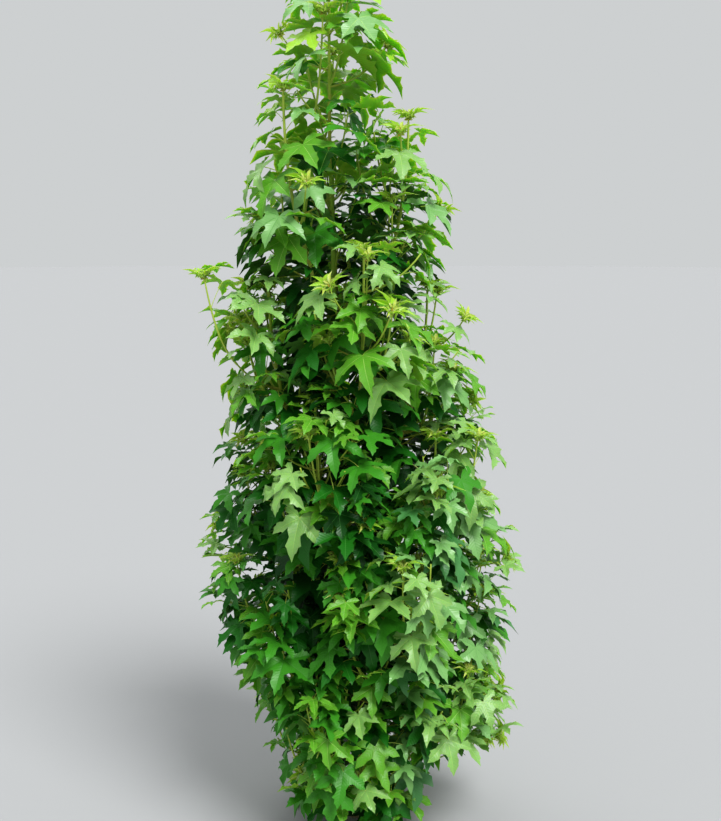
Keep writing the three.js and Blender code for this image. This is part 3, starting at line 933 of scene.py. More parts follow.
class BladeShape:
    """A star of five toothed lobes, in shares of the blade's length, with a vein along each lobe.

    The blade is a closed lens: its rim is shared by an upper and an under side that part a little inside it.
    Its middle lobe points along y, x is to the right and z up.
    """

    LOBE_DEGREES = (-114, -56, 0, 56, 114)
    LOBE_LENGTHS = (0.62, 0.92, 1.0, 0.92, 0.62)
    NOTCH_REACHES = (0.35, 0.44, 0.44, 0.35)
    BASE_WIDTHS = (0.075, 0.115)  # of the lowest lobes, on the side towards the petiole
    VEIN_HALF_WIDTH = 0.0062
    VEIN_TAPER = 0.75
    HALF_WIDTH_BASE, HALF_WIDTH_BY_LENGTH = 0.45, 0.55  # a shorter lobe is a little narrower too
    HALF_THICKNESS = 0.004
    DEGREE_VARIETY, LENGTH_VARIETY, NOTCH_VARIETY, WIDTH_VARIETY = 7.0, 0.10, 0.14, 0.18
    TOOTH_SHIFT = 0.035

    def __init__(self, detail: Detail, draws: Draws) -> None:
        """Lays out one shape of its own, with lobes and teeth that vary a little.

        Args:
            detail: How finely it is cut.
            draws: The source of its variety.
        """
        self.detail = detail
        self.rows: list[tuple[float, float, float, float, float]] = []  # x, y, along, across, layer
        self.faces: list[tuple[int, int, int]] = []
        self.sides: list[int] = []  # 0 upper, 1 under, 2 vein
        degrees = [a + draws.between(-1, 1) * self.DEGREE_VARIETY for a in self.LOBE_DEGREES]
        lengths = [k * (1 + draws.between(-1, 1) * self.LENGTH_VARIETY) for k in self.LOBE_LENGTHS]
        notches = [
            k * detail.notch_share * (1 + draws.between(-1, 1) * self.NOTCH_VARIETY)
            for k in self.NOTCH_REACHES
        ]
        hub = self.point(0, 0, 0, 0)
        edges: list[list[list[int]]] = []
        veins = []
        tips = []
        for angle, length in zip(degrees, lengths):
            turn = math.radians(angle)
            veins.append(self.vein(turn, length))
            tips.append(self.point(turn, length, 0, 0))
            edges.append([self.edge(turn, length, side, draws) for side in (-1, 1)])
        webs = [self.web(degrees[i], degrees[i + 1], notches[i]) for i in range(len(notches))]
        base_left = self.base_edge(math.radians(degrees[0]), lengths[0], -1)
        base_right = self.base_edge(math.radians(degrees[-1]), lengths[-1], 1)
        lefts, rights = [base_left, *webs], [*webs, base_right]
        for i in range(len(degrees)):
            for side, web, edge in ((-1, lefts[i], edges[i][0]), (1, rights[i], edges[i][1])):
                self.half_lobe(hub, tips[i], veins[i], web, edge, side)
            if detail.veined:
                self.vein_faces(hub, tips[i], veins[i])
        table = np.array(self.rows)
        self.flat, self.along, self.across, self.layer = table[:, :2], table[:, 2], table[:, 3], table[:, 4]
        self.triangles = np.array(self.faces)
        self.side = np.array(self.sides)

    def point(self, turn: float, along: float, across: float, layer: float) -> int:
        """Adds a corner beside a vein.

        Args:
            turn: The vein's heading.
            along: How far the corner lies along the vein.
            across: How far it lies to the right of it.
            layer: 1 on the upper side, -1 on the under side, 0 on the rim.

        Returns:
            The corner's number.
        """
        x = math.sin(turn) * along + math.cos(turn) * across
        y = math.cos(turn) * along - math.sin(turn) * across
        self.rows.append((x, y, along, across, layer))
        return len(self.rows) - 1

    def vein(self, turn: float, length: float) -> dict[str, list[int]]:
        """Adds the corners along a vein.

        Args:
            turn: The vein's heading.
            length: The length of its lobe.

        Returns:
            The corners of its two edges on the upper side, and of the one row under it.
        """
        stations = [*self.detail.web_along, *self.detail.along]
        rows: dict[str, list[int]] = {"left": [], "right": [], "under": []}
        for share in stations:
            half = self.VEIN_HALF_WIDTH * (1 - self.VEIN_TAPER * share) if self.detail.veined else 0.0
            rows["left"].append(self.point(turn, share * length, -half, 1))
            rows["right"].append(self.point(turn, share * length, half, 1) if half else rows["left"][-1])
            rows["under"].append(self.point(turn, share * length, 0, -1))
        return rows

    def edge(self, turn: float, length: float, side: int, draws: Draws) -> list[int]:
        """Adds the corners of a lobe's edge past the notch, with its teeth.

        Args:
            turn: The heading of the lobe's vein.
            length: The length of the lobe.
            side: 1 for its right edge, -1 for its left.
            draws: The source of the lobe's own variety.

        Returns:
            The corners' numbers.
        """
        narrowing = self.HALF_WIDTH_BASE + self.HALF_WIDTH_BY_LENGTH * length
        varied = [
            width * narrowing * (1 + draws.between(-1, 1) * self.WIDTH_VARIETY)
            for width in self.detail.half_widths
        ]
        shift = draws.between(-self.TOOTH_SHIFT, self.TOOTH_SHIFT)
        return [
            self.point(turn, (share + shift) * length, side * width, 0)
            for share, width in zip(self.detail.along, varied)
        ]

    def web(self, left_degrees: float, right_degrees: float, reach: float) -> list[tuple[int, int]]:
        """Adds the corners on the line to a notch.

        Args:
            left_degrees: The heading of the lobe on the left.
            right_degrees: The heading of the lobe on the right.
            reach: How far out the notch lies.

        Returns:
            The upper and the under corner at each place, which are one at the notch itself.
        """
        turn = math.radians((left_degrees + right_degrees) / 2)
        half = math.radians((right_degrees - left_degrees) / 2)
        corners = []
        for share in self.detail.web:
            along, across = reach * share * math.cos(half), reach * share * math.sin(half)
            x, y = math.sin(turn) * reach * share, math.cos(turn) * reach * share
            layers = (1, -1) if share < 1 else (0,)
            numbers = []
            for layer in layers:
                self.rows.append((x, y, along, across, layer))
                numbers.append(len(self.rows) - 1)
            corners.append((numbers[0], numbers[-1]))
        return corners

    def base_edge(self, turn: float, length: float, side: int) -> list[tuple[int, int]]:
        """Adds the corners of the rim beside the petiole.

        Args:
            turn: The heading of a lowest lobe.
            length: The length of the lobe.
            side: 1 for its right edge, -1 for its left.

        Returns:
            Each corner twice, as the web of another lobe has an upper and an under one.
        """
        places = zip(self.detail.web_along, self.BASE_WIDTHS[-len(self.detail.web) :])
        numbers = [self.point(turn, share * length, side * width, 0) for share, width in places]
        return [(number, number) for number in numbers]

    def half_lobe(
        self,
        hub: int,
        tip: int,
        vein: dict[str, list[int]],
        web: list[tuple[int, int]],
        edge: list[int],
        side: int,
    ) -> None:
        """Adds the upper and the under side of the blade between a vein and the rim beside it.

        Args:
            hub: The corner where the petiole ends.
            tip: The corner at the lobe's tip.
            vein: The vein's corners.
            web: The corners on the way out to the notch.
            edge: The corners from the notch to the tip.
            side: 1 for the right half, -1 for the left.
        """
        inner = vein["right" if side > 0 else "left"]
        for face, near, far in (
            (0, inner, [w[0] for w in web] + edge),
            (1, vein["under"], [w[1] for w in web] + edge),
        ):
            clockwise = (side > 0) == (face == 0)
            self.fan(face, hub, near[0], far[0], not clockwise)
            for i in range(len(near) - 1):
                self.fan(face, near[i], near[i + 1], far[i + 1], not clockwise)
                self.fan(face, near[i], far[i + 1], far[i], not clockwise)
            self.fan(face, near[-1], tip, far[-1], not clockwise)

    def fan(self, side: int, a: int, b: int, c: int, keep: bool) -> None:
        """Adds one triangle, turned over if its order isn't kept."""
        self.faces.append((a, b, c) if keep else (a, c, b))
        self.sides.append(side)

    def vein_faces(self, hub: int, tip: int, vein: dict[str, list[int]]) -> None:
        """Adds the narrow strip of a vein on the upper side.

        Args:
            hub: The corner where the petiole ends.
            tip: The corner at the lobe's tip.
            vein: The vein's corners.
        """
        left, right = vein["left"], vein["right"]
        self.fan(2, hub, right[0], left[0], True)
        for i in range(len(left) - 1):
            self.fan(2, left[i], right[i], right[i + 1], True)
            self.fan(2, left[i], right[i + 1], left[i + 1], True)
        self.fan(2, left[-1], right[-1], tip, True)


@dataclass(frozen=True)
class Bend:
    """How a blade hangs: its halves fold up from the veins, and its lobes droop, spread and curl."""

    fold: float
    droop: float
    hang: float
    curl: float
    ripple: float
    phase: float

    CURL_FROM = 0.55
    SWAY = 0.6  # some lobes droop by this much more than the mean, others by this much less
    RIPPLES_ALONG, RIPPLES_ASIDE = 13, 5
    YOUNG_DROOP = 0.6
    LIMITS = ((0.2, 0.62), (-0.04, 0.22), (0.0, 0.22), (0.0, 0.9), (0.04, 0.30), (0.0, 6.3))  # of the six above

    @classmethod
    def drawn(cls, draws: Draws, youth: float) -> "Bend":
        """How one grown leaf hangs: each value between its limits, and a young leaf droops less."""
        fold, droop, hang, curl, ripple, phase = [draws.between(*limits) for limits in cls.LIMITS]
        return cls(fold, droop * mixed(1.0, cls.YOUNG_DROOP, youth), hang, curl, ripple, phase)

    def lift(self, flat: np.ndarray, along: np.ndarray, across: np.ndarray) -> np.ndarray:
        """How high the corners of a blade lie over the blade's plane.

        Args:
            flat: Each corner's place in the plane.
            along: How far it lies along its own vein.
            across: How far it lies beside that vein.

        Returns:
            One height for each corner.
        """
        sway = 1 + self.SWAY * np.sin(2 * np.arctan2(flat[:, 0], flat[:, 1]) + self.phase)
        fold = self.fold * np.abs(across) - self.droop * sway * along * along - self.hang * flat[:, 0] ** 2
        curl = self.curl * np.maximum(along - self.CURL_FROM, 0) ** 2
        ripples = along * self.RIPPLES_ALONG + self.phase + flat[:, 0] * self.RIPPLES_ASIDE
        wave = self.ripple * np.sin(ripples) * np.abs(across)
        return fold - curl + wave


@dataclass
class Posture:
    """Where one or several leaves sit: petiole and blade directions, in rows of one each."""

    root: np.ndarray
    petiole: np.ndarray
    base: np.ndarray
    midrib: np.ndarray
    right: np.ndarray
    face: np.ndarray
    length: np.ndarray

    def one(self, i: int) -> "Posture":
        """The posture of one of them."""
        rows = (self.petiole, self.base, self.midrib, self.right, self.face)
        return Posture(self.root, *[row[i] for row in rows], self.length[i])

    def put(self, shares: np.ndarray) -> np.ndarray:
        """Points of the blade in the tree's frame, from their shares of its length."""
        axes = np.stack((self.right, self.midrib, self.face), axis=-2)
        return self.base[..., None, :] + (shares * self.length[..., None, None]) @ axes


@dataclass(frozen=True)
class Bud:
    """Where one leaf is due, how young it is, and how light its spray is with painted light and shade."""

    limb: Limb
    share: float  # of the limb's length
    turn: float  # round the limb
    youth: float  # 0 for the oldest leaf of a limb, 1 for the last
    spray_tone_and_painted_light: float


class LeafMaker:
    """Grows leaves on limbs: finds the ways that a leaf could sit, then builds blade and petiole."""

    SHAPE_SEED, SHAPE_COUNT = 4721, 12
    TRIES = 18
    BLADE_LENGTH, PETIOLE_LENGTH = 0.093, 0.092
    PETIOLE_VARIETY, YOUNG_PETIOLE = (0.45, 1.05), 0.6
    ASIDE, ALONG, OUTWARD = 0.8, 0.45, 0.4
    TILT_OUT, BLADE_OUTWARD = 0.3, 0.4
    LOW_DIP, HIGH_DIP, YOUNG_DIP, DIP_VARIETY = 40.0, 25.0, 0.0, 30.0
    DIP_HEIGHTS = (0.9, 2.0)
    ROLL_VARIETY = 0.45
    SIZES, SIZE_POWER, SIZE_VARIETY = (1.05, 0.62), 1.8, (0.74, 1.12)  # from the oldest leaf to the last
    HIGH_GROWTH = 1.19
    THIN_LEAVES_PAINTED_GLOW_FROM = 1.75  # over this height the undersides and veins are painted lighter, a painted glow of light through the young leaves, besides their real glow
    NOTCH_ALONG, NOTCH_ACROSS = 0.8, 0.5
    COARSE_ACROSS = 0.5
    KNEE_SHARE, KNEE_RISE = 0.5, 0.1
    STALK_STEPS, STALK_SIDES = 5, 4
    STALK_SHARES, STALK_RADII = (0, 0.2, 1), (0.0015, 0.0011, 0.0010)
    THICKNESS_BASE, THICKNESS_BY_LENGTH = 0.4, 0.6
    STRIP_STEPS, STRIP_WIDTH = 4, 0.002

    def __init__(self) -> None:
        """Draws the shapes that all leaves are picked from."""
        draws = Draws(self.SHAPE_SEED)
        self.shapes = [BladeShape(GROWN_DETAIL, draws) for _ in range(self.SHAPE_COUNT)]
        self.shaded_shapes = [BladeShape(SHADED_DETAIL, draws) for _ in range(self.SHAPE_COUNT)]
        self.young_shapes = [BladeShape(YOUNG_DETAIL, draws) for _ in range(self.SHAPE_COUNT // 2)]
        rim = [(0.0, 0.0, 0.0, 0.0)]
        lobes = list(zip(BladeShape.LOBE_DEGREES, BladeShape.LOBE_LENGTHS))
        for i, (degrees, length) in enumerate(lobes):
            turn = math.radians(degrees)
            rim.append((math.sin(turn) * length, math.cos(turn) * length, length, 0.0))
            if i < len(lobes) - 1:
                notch = math.radians((degrees + lobes[i + 1][0]) / 2)
                reach = BladeShape.NOTCH_REACHES[i]
                x, y = math.sin(notch) * reach, math.cos(notch) * reach
                rim.append((x, y, reach * self.NOTCH_ALONG, reach * self.NOTCH_ACROSS))
        self.rim = np.array(rim)
        self.rim_faces = [(0, i, i + 1) for i in range(1, len(rim) - 1)]

    def postures(self, bud: Bud, draws: Draws) -> Posture:
        """Ways that a leaf could sit at its bud.

        Args:
            bud: Where the leaf is due.
            draws: The mass's source of numbers.

        Returns:
            As many postures as there are tries.
        """
        limb, youth, tries = bud.limb, bud.youth, self.TRIES
        root, way, out = limb.line.at(bud.share), limb.line.way(bud.share), limb.out
        turns = bud.turn + np.arange(tries) * 2 * math.pi / tries
        stalks = self.PETIOLE_LENGTH * draws.several(tries, *self.PETIOLE_VARIETY)
        stalks = stalks * mixed(1.0, self.YOUNG_PETIOLE, youth)
        across = unit(np.cross(way, UP + out * self.TILT_OUT))
        along = np.cross(across, way)
        side = across * np.cos(turns)[:, None] + along * np.sin(turns)[:, None]
        petiole = unit(side * self.ASIDE + way * self.ALONG + out * self.OUTWARD)
        level = petiole + out * self.BLADE_OUTWARD
        level[:, 2] = 0
        level = unit(level)
        lift = np.interp(root[2], self.DIP_HEIGHTS, (0, 1))
        dip = mixed(mixed(self.LOW_DIP, self.HIGH_DIP, lift), self.YOUNG_DIP, youth * youth)
        dips = np.radians(dip + draws.several(tries, -self.DIP_VARIETY, self.DIP_VARIETY))[:, None]
        midrib = level * np.cos(dips) - UP * np.sin(dips)
        right = unit(np.cross(midrib, UP))
        rolls = draws.several(tries, -self.ROLL_VARIETY, self.ROLL_VARIETY)[:, None]
        right = right * np.cos(rolls) + np.cross(midrib, right) * np.sin(rolls)
        face = np.cross(right, midrib)
        size = mixed(*self.SIZES, youth**self.SIZE_POWER) * limb.rank.value.leaf_size
        size = size * mixed(1.0, self.HIGH_GROWTH, lift)
        lengths = self.BLADE_LENGTH * size * draws.several(tries, *self.SIZE_VARIETY)
        return Posture(root, petiole, root + petiole * stalks[:, None], midrib, right, face, lengths)

    def coarse(self, posture: Posture, bend: Bend) -> np.ndarray:
        """The rim of the blades as a few points: the petiole's end, the tips and the notches."""
        lift = bend.lift(self.rim[:, :2], self.rim[:, 2], self.rim[:, 3] * self.COARSE_ACROSS)
        return posture.put(np.column_stack((self.rim[:, :2], lift)))

    def stalk_line(self, posture: Posture, steps: int) -> np.ndarray:
        """The line of a petiole, which leaves its twig, rises a little and bends over to the blade.

        Args:
            posture: How its leaf sits.
            steps: How many points are wanted.

        Returns:
            The points, from the twig to the blade.
        """
        span = posture.base - posture.root
        length = np.linalg.norm(span)
        knee = posture.root + span * self.KNEE_SHARE + UP * length * self.KNEE_RISE
        return bezier((posture.root, knee, posture.base), np.linspace(0, 1, steps))

    def outline(self, rim: np.ndarray, posture: Posture) -> BVHTree:
        """A search tree of a leaf.

        Args:
            rim: The coarse rim of its blade.
            posture: How it sits.

        Returns:
            The tree, with the petiole as a narrow strip.
        """
        stalk = self.stalk_line(posture, self.STRIP_STEPS)[1:]
        corners = np.concatenate((rim, stalk, stalk + posture.right * self.STRIP_WIDTH))
        faces, row = list(self.rim_faces), len(stalk)
        for i in range(len(rim), len(rim) + row - 1):
            faces += [(i, i + 1, i + row), (i + 1, i + row + 1, i + row)]
        return tree_of(corners, faces)

    def build(
        self, leaves: Pile, stalks: Pile, posture: Posture, bend: Bend, green: Green, shape: BladeShape
    ) -> None:
        """Builds one leaf.

        Args:
            leaves: The pile for the blade.
            stalks: The pile for the petiole.
            posture: How the leaf sits.
            bend: How its blade hangs.
            green: The finish of its upper side.
            shape: The shape of its blade.
        """
        lift = bend.lift(shape.flat, shape.along, shape.across) + shape.layer * BladeShape.HALF_THICKNESS
        corners = posture.put(np.column_stack((shape.flat, lift)))
        # a painted glow of light through light and high leaves: a lighter underside and vein
        light = green in LIGHT_GREENS or posture.base[2] > self.THIN_LEAVES_PAINTED_GLOW_FROM
        underside, vein = (LIGHT_UNDERSIDE, LIGHT_VEIN) if light else (DULL_UNDERSIDE, DULL_VEIN)
        finishes = np.array((green.value, underside, vein))[shape.side]
        marks = np.column_stack((shape.across, shape.along)) * posture.length
        leaves.add(corners, shape.triangles, finishes, marks)
        line = self.stalk_line(posture, self.STALK_STEPS)
        thickness = self.THICKNESS_BASE + self.THICKNESS_BY_LENGTH * (posture.length / self.BLADE_LENGTH)
        radii = np.interp(np.linspace(0, 1, self.STALK_STEPS), self.STALK_SHARES, self.STALK_RADII)
        stalks.add(*tube(line, radii * thickness, self.STALK_SIDES), PETIOLE_GREEN)


@dataclass(frozen=True)
class Rosette:
    """The youngest leaves at a limb's tip, from the half open one below to the last round the bud."""

    count: int = 9
    openings: tuple[float, float] = (0.95, 0.1)  # of the lowest leaf and of the last
    opening_variety: tuple[float, float] = (0.75, 1.25)
    lengths: tuple[float, float] = (0.040, 0.013)
    length_variety: tuple[float, float] = (0.8, 1.2)
    petioles: tuple[float, float] = (0.026, 0.004)
    arches: tuple[float, float] = (0.55, 0.0)
    arch_variety: tuple[float, float] = (0.6, 1.4)
    folds: tuple[float, float] = (0.7, 1.5)
    curls: tuple[float, float] = (0.2, 1.2)
    hang: float = -0.3
    ripple: float = 0.2
    steepness: float = 0.85
    bright_count: int = 2
    newest_after: int = 7
    newest_from: float = 1.4  # the height over which the last leaves are still tan
    odd_way: tuple[float, float, float] = (0.3, 0.2, 0.1)  # a way that no limb takes

    def open(self, limb: Limb, maker: LeafMaker, draws: Draws, leaves: Pile, stalks: Pile) -> None:
        """Opens the leaves at the tip of a limb.

        Args:
            limb: The limb.
            maker: What builds the leaves.
            draws: The mass's source of numbers.
            leaves: The pile for the blades.
            stalks: The pile for the petioles.
        """
        tip, way = limb.line.at(limb.end), limb.line.way(limb.end)
        across = unit(np.cross(way, np.array(self.odd_way)))
        along = np.cross(across, way)
        for i in range(self.count):
            turn, age = i * GOLDEN_TURN, i / self.count
            side = across * math.cos(turn) + along * math.sin(turn)
            opened = mixed(*self.openings, age) * draws.between(*self.opening_variety)
            petiole = unit(way + side * opened)
            midrib = unit(way * self.steepness + side * opened)
            right = unit(np.cross(midrib, way))
            face = np.cross(right, midrib)
            length = mixed(*self.lengths, age) * draws.between(*self.length_variety)
            base = tip + petiole * mixed(*self.petioles, age)
            posture = Posture(tip, petiole, base, midrib, right, face, np.array(length))
            arch = mixed(*self.arches, age) * draws.between(*self.arch_variety)
            fold = draws.between(*self.folds)
            bend = Bend(fold, arch, self.hang, draws.between(*self.curls), self.ripple, turn)
            newest = i >= self.newest_after and tip[2] > self.newest_from
            green = Green.BRIGHT if i < self.bright_count else Green.NEWEST if newest else Green.YOUNG
            shape = maker.young_shapes[i % len(maker.young_shapes)]
            maker.build(leaves, stalks, posture, bend, green, shape)


@dataclass(frozen=True)
class GreensWithPaintedLight:
    """Which green each leaf has, with painted light and shade: lighter higher up, on the right, near the foot,
    round the chest and at the outline, darker inside the crown and low on the left. Young leaves are really
    lighter, and tone differs at random.
    """

    crown: CrownForm
    # inner sprays are painted darker: painted shade inside the crown
    inner: tuple[float, float] = (0.12, 0.46)
    inner_chest_share: float = 0.8
    # lighter higher up and most at the top: painted light from above
    base: float = 0.36
    by_rise: float = 0.24
    tip_light: float = 1.5
    tip_from: float = 0.78
    # lighter on the right and darker low on the left: painted light and painted shade
    side_light: float = 0.85
    side_limit: float = 0.14
    left_shade: float = -0.26
    # a painted band of light round the chest height
    chest_light: float = 0.28
    chest_height: float = 1.36
    chest_spread: float = 0.28
    spray_variety: tuple[float, float] = (-0.22, 0.26)
    # lighter near the foot: painted light
    low_light: float = 0.38
    low_height: float = 0.24
    low_spread: float = 0.34
    young_light: float = 0.3
    # lighter at the outline than inside: painted light
    outer_light: float = 0.8
    outer_from: float = 0.8
    leaf_variety: float = 0.08
    # the greens from deep to bright, picked by the light value: painted light and shade as well as the leaves'
    # own tone
    steps: tuple[tuple[float, Green], ...] = (
        (0.16, Green.DEEP),
        (0.36, Green.DARK),
        (0.56, Green.MIDDLE),
        (0.80, Green.FRESH),
        (0.98, Green.PALE),
        (math.inf, Green.BRIGHT),
    )
    blue_from: float = 0.1  # how far to the right the leaves with a painted bluish sheen of the sky's reflection begin
    blue_luck: float = 0.5
    middle_blue_luck: float = 0.3
    # the brightest lime stays above one height and spreads over more leaves above another: a painted glow of
    # light through the young top leaves, which are really paler too
    bright_from: float = 1.8
    # some leaves above this height get the painted sheen of the sky's reflection
    painted_sheen_from: float = 1.6
    painted_sheen_luck: float = 0.86
    lime_from: float = 1.9
    lime_luck: float = 0.6

    def spray(self, limb: Limb, draws: Draws) -> float:
        """How light the leaves of one spray are: painted light and shade by its place in the crown, and a
        random tone.

        Args:
            limb: The limb that bears the spray.
            draws: The mass's source of numbers.

        Returns:
            A value from 0 for the darkest to 1 for the lightest.
        """
        end = limb.line.at(1.0)
        # a painted band of light round the chest height, less the painted shade of some ranks
        off = (end[2] - self.chest_height) / self.chest_spread
        chest = self.chest_light * math.exp(-(off**2)) - limb.rank.value.shade
        # inner sprays get painted shade
        if limb.rank is Rank.INNER:
            return self.inner_chest_share * chest + draws.between(*self.inner)
        # painted light at the top and on the right, painted shade low on the left, and a random tone of each
        # spray
        rise = end[2] / self.crown.height
        tip = self.tip_light * max(rise - self.tip_from, 0)
        side = self.side_light * min(max(end[0], self.left_shade * (1 - rise) ** 2), self.side_limit)
        return self.base + self.by_rise * rise + tip + side + chest + draws.between(*self.spray_variety)

    def leaf(self, bud: Bud, place: np.ndarray, draws: Draws) -> Green:
        """The green of one leaf of a spray, with painted light and shade, a painted sheen and a painted glow.

        Args:
            bud: Where the leaf grows.
            place: The middle of its blade.
            draws: The mass's source of numbers.

        Returns:
            The green of its upper side.
        """
        out = min(float(self.crown.shares(place[None])[0]), 1.0)
        # painted light near the foot and at the outline; young leaves are really lighter, and each leaf's tone
        # differs at random
        low = self.low_light * max(1 - abs(place[2] - self.low_height) / self.low_spread, 0)
        young, outer = self.young_light * bud.youth**2, self.outer_light * (out - self.outer_from)
        light = bud.spray_tone_and_painted_light + low + young + outer + draws.between(-self.leaf_variety, self.leaf_variety)
        chosen = next(green for limit, green in self.steps if light < limit)
        luck = draws.next()
        # on the right, darker greens get a painted bluish sheen of the sky's reflection, middle ones a pale
        # grey one
        if place[0] > self.blue_from and luck < self.blue_luck:
            if chosen is Green.DARK or (chosen is Green.MIDDLE and luck < self.middle_blue_luck):
                return Green.BLUISH
            if chosen in (Green.MIDDLE, Green.FRESH):
                return Green.WAXY_PAINTED_SHEEN
        # the brightest lime is a painted glow of light through the top leaves, and lime spreads over the top
        if chosen is Green.BRIGHT and place[2] < self.bright_from:
            return Green.PALE
        # some leaves high up get the painted sheen of the sky's reflection
        if place[2] > self.painted_sheen_from and luck > self.painted_sheen_luck:
            return Green.WAXY_PAINTED_SHEEN
        if place[2] > self.lime_from and chosen in (Green.PALE, Green.FRESH) and luck < self.lime_luck:
            return Green.BRIGHT
        return chosen


@dataclass
class Hung:
    """The leaves that hang so far in the whole crown, for keeping new ones clear of them."""

    middles: list[np.ndarray] = field(default_factory=list)
    trees: list[BVHTree] = field(default_factory=list)

    def room(self, points: np.ndarray) -> np.ndarray:
        """How much room there is round some points.

        Args:
            points: The points, in rows.

        Returns:
            The distance from each to the nearest blade's middle.
        """
        if not self.middles:
            return np.ones(len(points))
        placed = np.array(self.middles)
        return np.sqrt(((points[:, None] - placed[None]) ** 2).sum(-1).min(1))

    def clear(self, tree: BVHTree, middle: np.ndarray, near: float) -> bool:
        """Tells whether a leaf is clear of those near it.

        Args:
            tree: The leaf's search tree.
            middle: The middle of its blade.
            near: How near the middles of two leaves lie that could touch.

        Returns:
            True if it crosses none.
        """
        if not self.middles:
            return True
        apart = np.linalg.norm(np.array(self.middles) - middle, axis=1)
        return not any(self.trees[i].overlap(tree) for i in np.flatnonzero(apart < near))


class Room:
    """The space that a mass may fill: its own share of the crown, inside the model's box."""

    CELL_SQUASH = 0.85
    OVERREACH = 0.030  # leaves of neighbouring masses mingle this far
    LOWEST = 0.016

    def __init__(
        self, mass: Mass, masses: list[Mass], crown: CrownForm, low: np.ndarray, high: np.ndarray
    ) -> None:
        """Sets the mass against all others.

        Args:
            mass: The mass itself.
            masses: All masses of the tree.
            crown: The crown that they make up.
            low: The lowest corner of the box.
            high: The highest corner of the box.
        """
        self.scale = np.array((1, 1, self.CELL_SQUASH))
        self.own = mass.middle * self.scale
        self.theirs = np.array([other.middle for other in masses if other is not mass]) * self.scale
        self.spans = 2 * np.linalg.norm(self.theirs - self.own, axis=1)
        self.crown, self.low, self.high = crown, low, high

    def holds(self, points: np.ndarray, reach_share: float = 1.0) -> np.ndarray:
        """Tells which points the mass may fill.

        Args:
            points: The points, in rows.
            reach_share: The share of the crown's reach that it keeps to.

        Returns:
            True for each point that it may fill.
        """
        at = points * self.scale
        own = ((at - self.own) ** 2).sum(-1)
        depth = ((((at[:, None] - self.theirs[None]) ** 2).sum(-1) - own[:, None]) / self.spans).min(1)
        return (depth > -self.OVERREACH) & self.in_crown(points, reach_share)

    def in_crown(self, points: np.ndarray, reach_share: float = 1.0) -> np.ndarray:
        """True for each point that any leaf may reach, whatever its mass."""
        inside = (points > self.low).all(1) & (points < self.high).all(1) & (points[:, 2] > self.LOWEST)
        return inside & (points[:, 2] <= self.crown.height) & (self.crown.shares(points) <= reach_share)


# Twigs that fill the gap between two masses in front, and twigs that reach out of the even outline. Each row
# is the share of the shoot that a twig leaves at, its heading in degrees, and its length
FILLING_TWIGS = {
    "waist_1": ((0.12, -86, 0.22), (0.36, -92, 0.21), (0.60, -80, 0.20)),
    "waist_4": ((0.06, -62, 0.22), (0.24, -54, 0.22), (0.44, -68, 0.21), (0.62, -58, 0.20)),
}
REACHING_TWIGS = {
    "foot_1": ((0.20, 14, 0.24), (0.34, -6, 0.24), (0.50, 20, 0.24), (0.64, 4, 0.22)),
    "low_1": ((0.03, -12, 0.19), (0.14, 8, 0.20), (0.36, -6, 0.19), (0.66, 6, 0.19)),
    "low_3": ((0.30, 190, 0.20), (0.44, 174, 0.20), (0.70, 186, 0.20), (0.84, 170, 0.18)),
    "waist_1": ((0.02, -4, 0.24), (0.14, 12, 0.22)),
    "waist_3": ((0.02, 184, 0.24), (0.14, 170, 0.23)),
    "chest_1": ((0.02, -6, 0.19), (0.10, 24, 0.19)),
    "chest_3": ((0.30, 176, 0.15), (0.46, 196, 0.15), (0.70, 190, 0.145)),
}


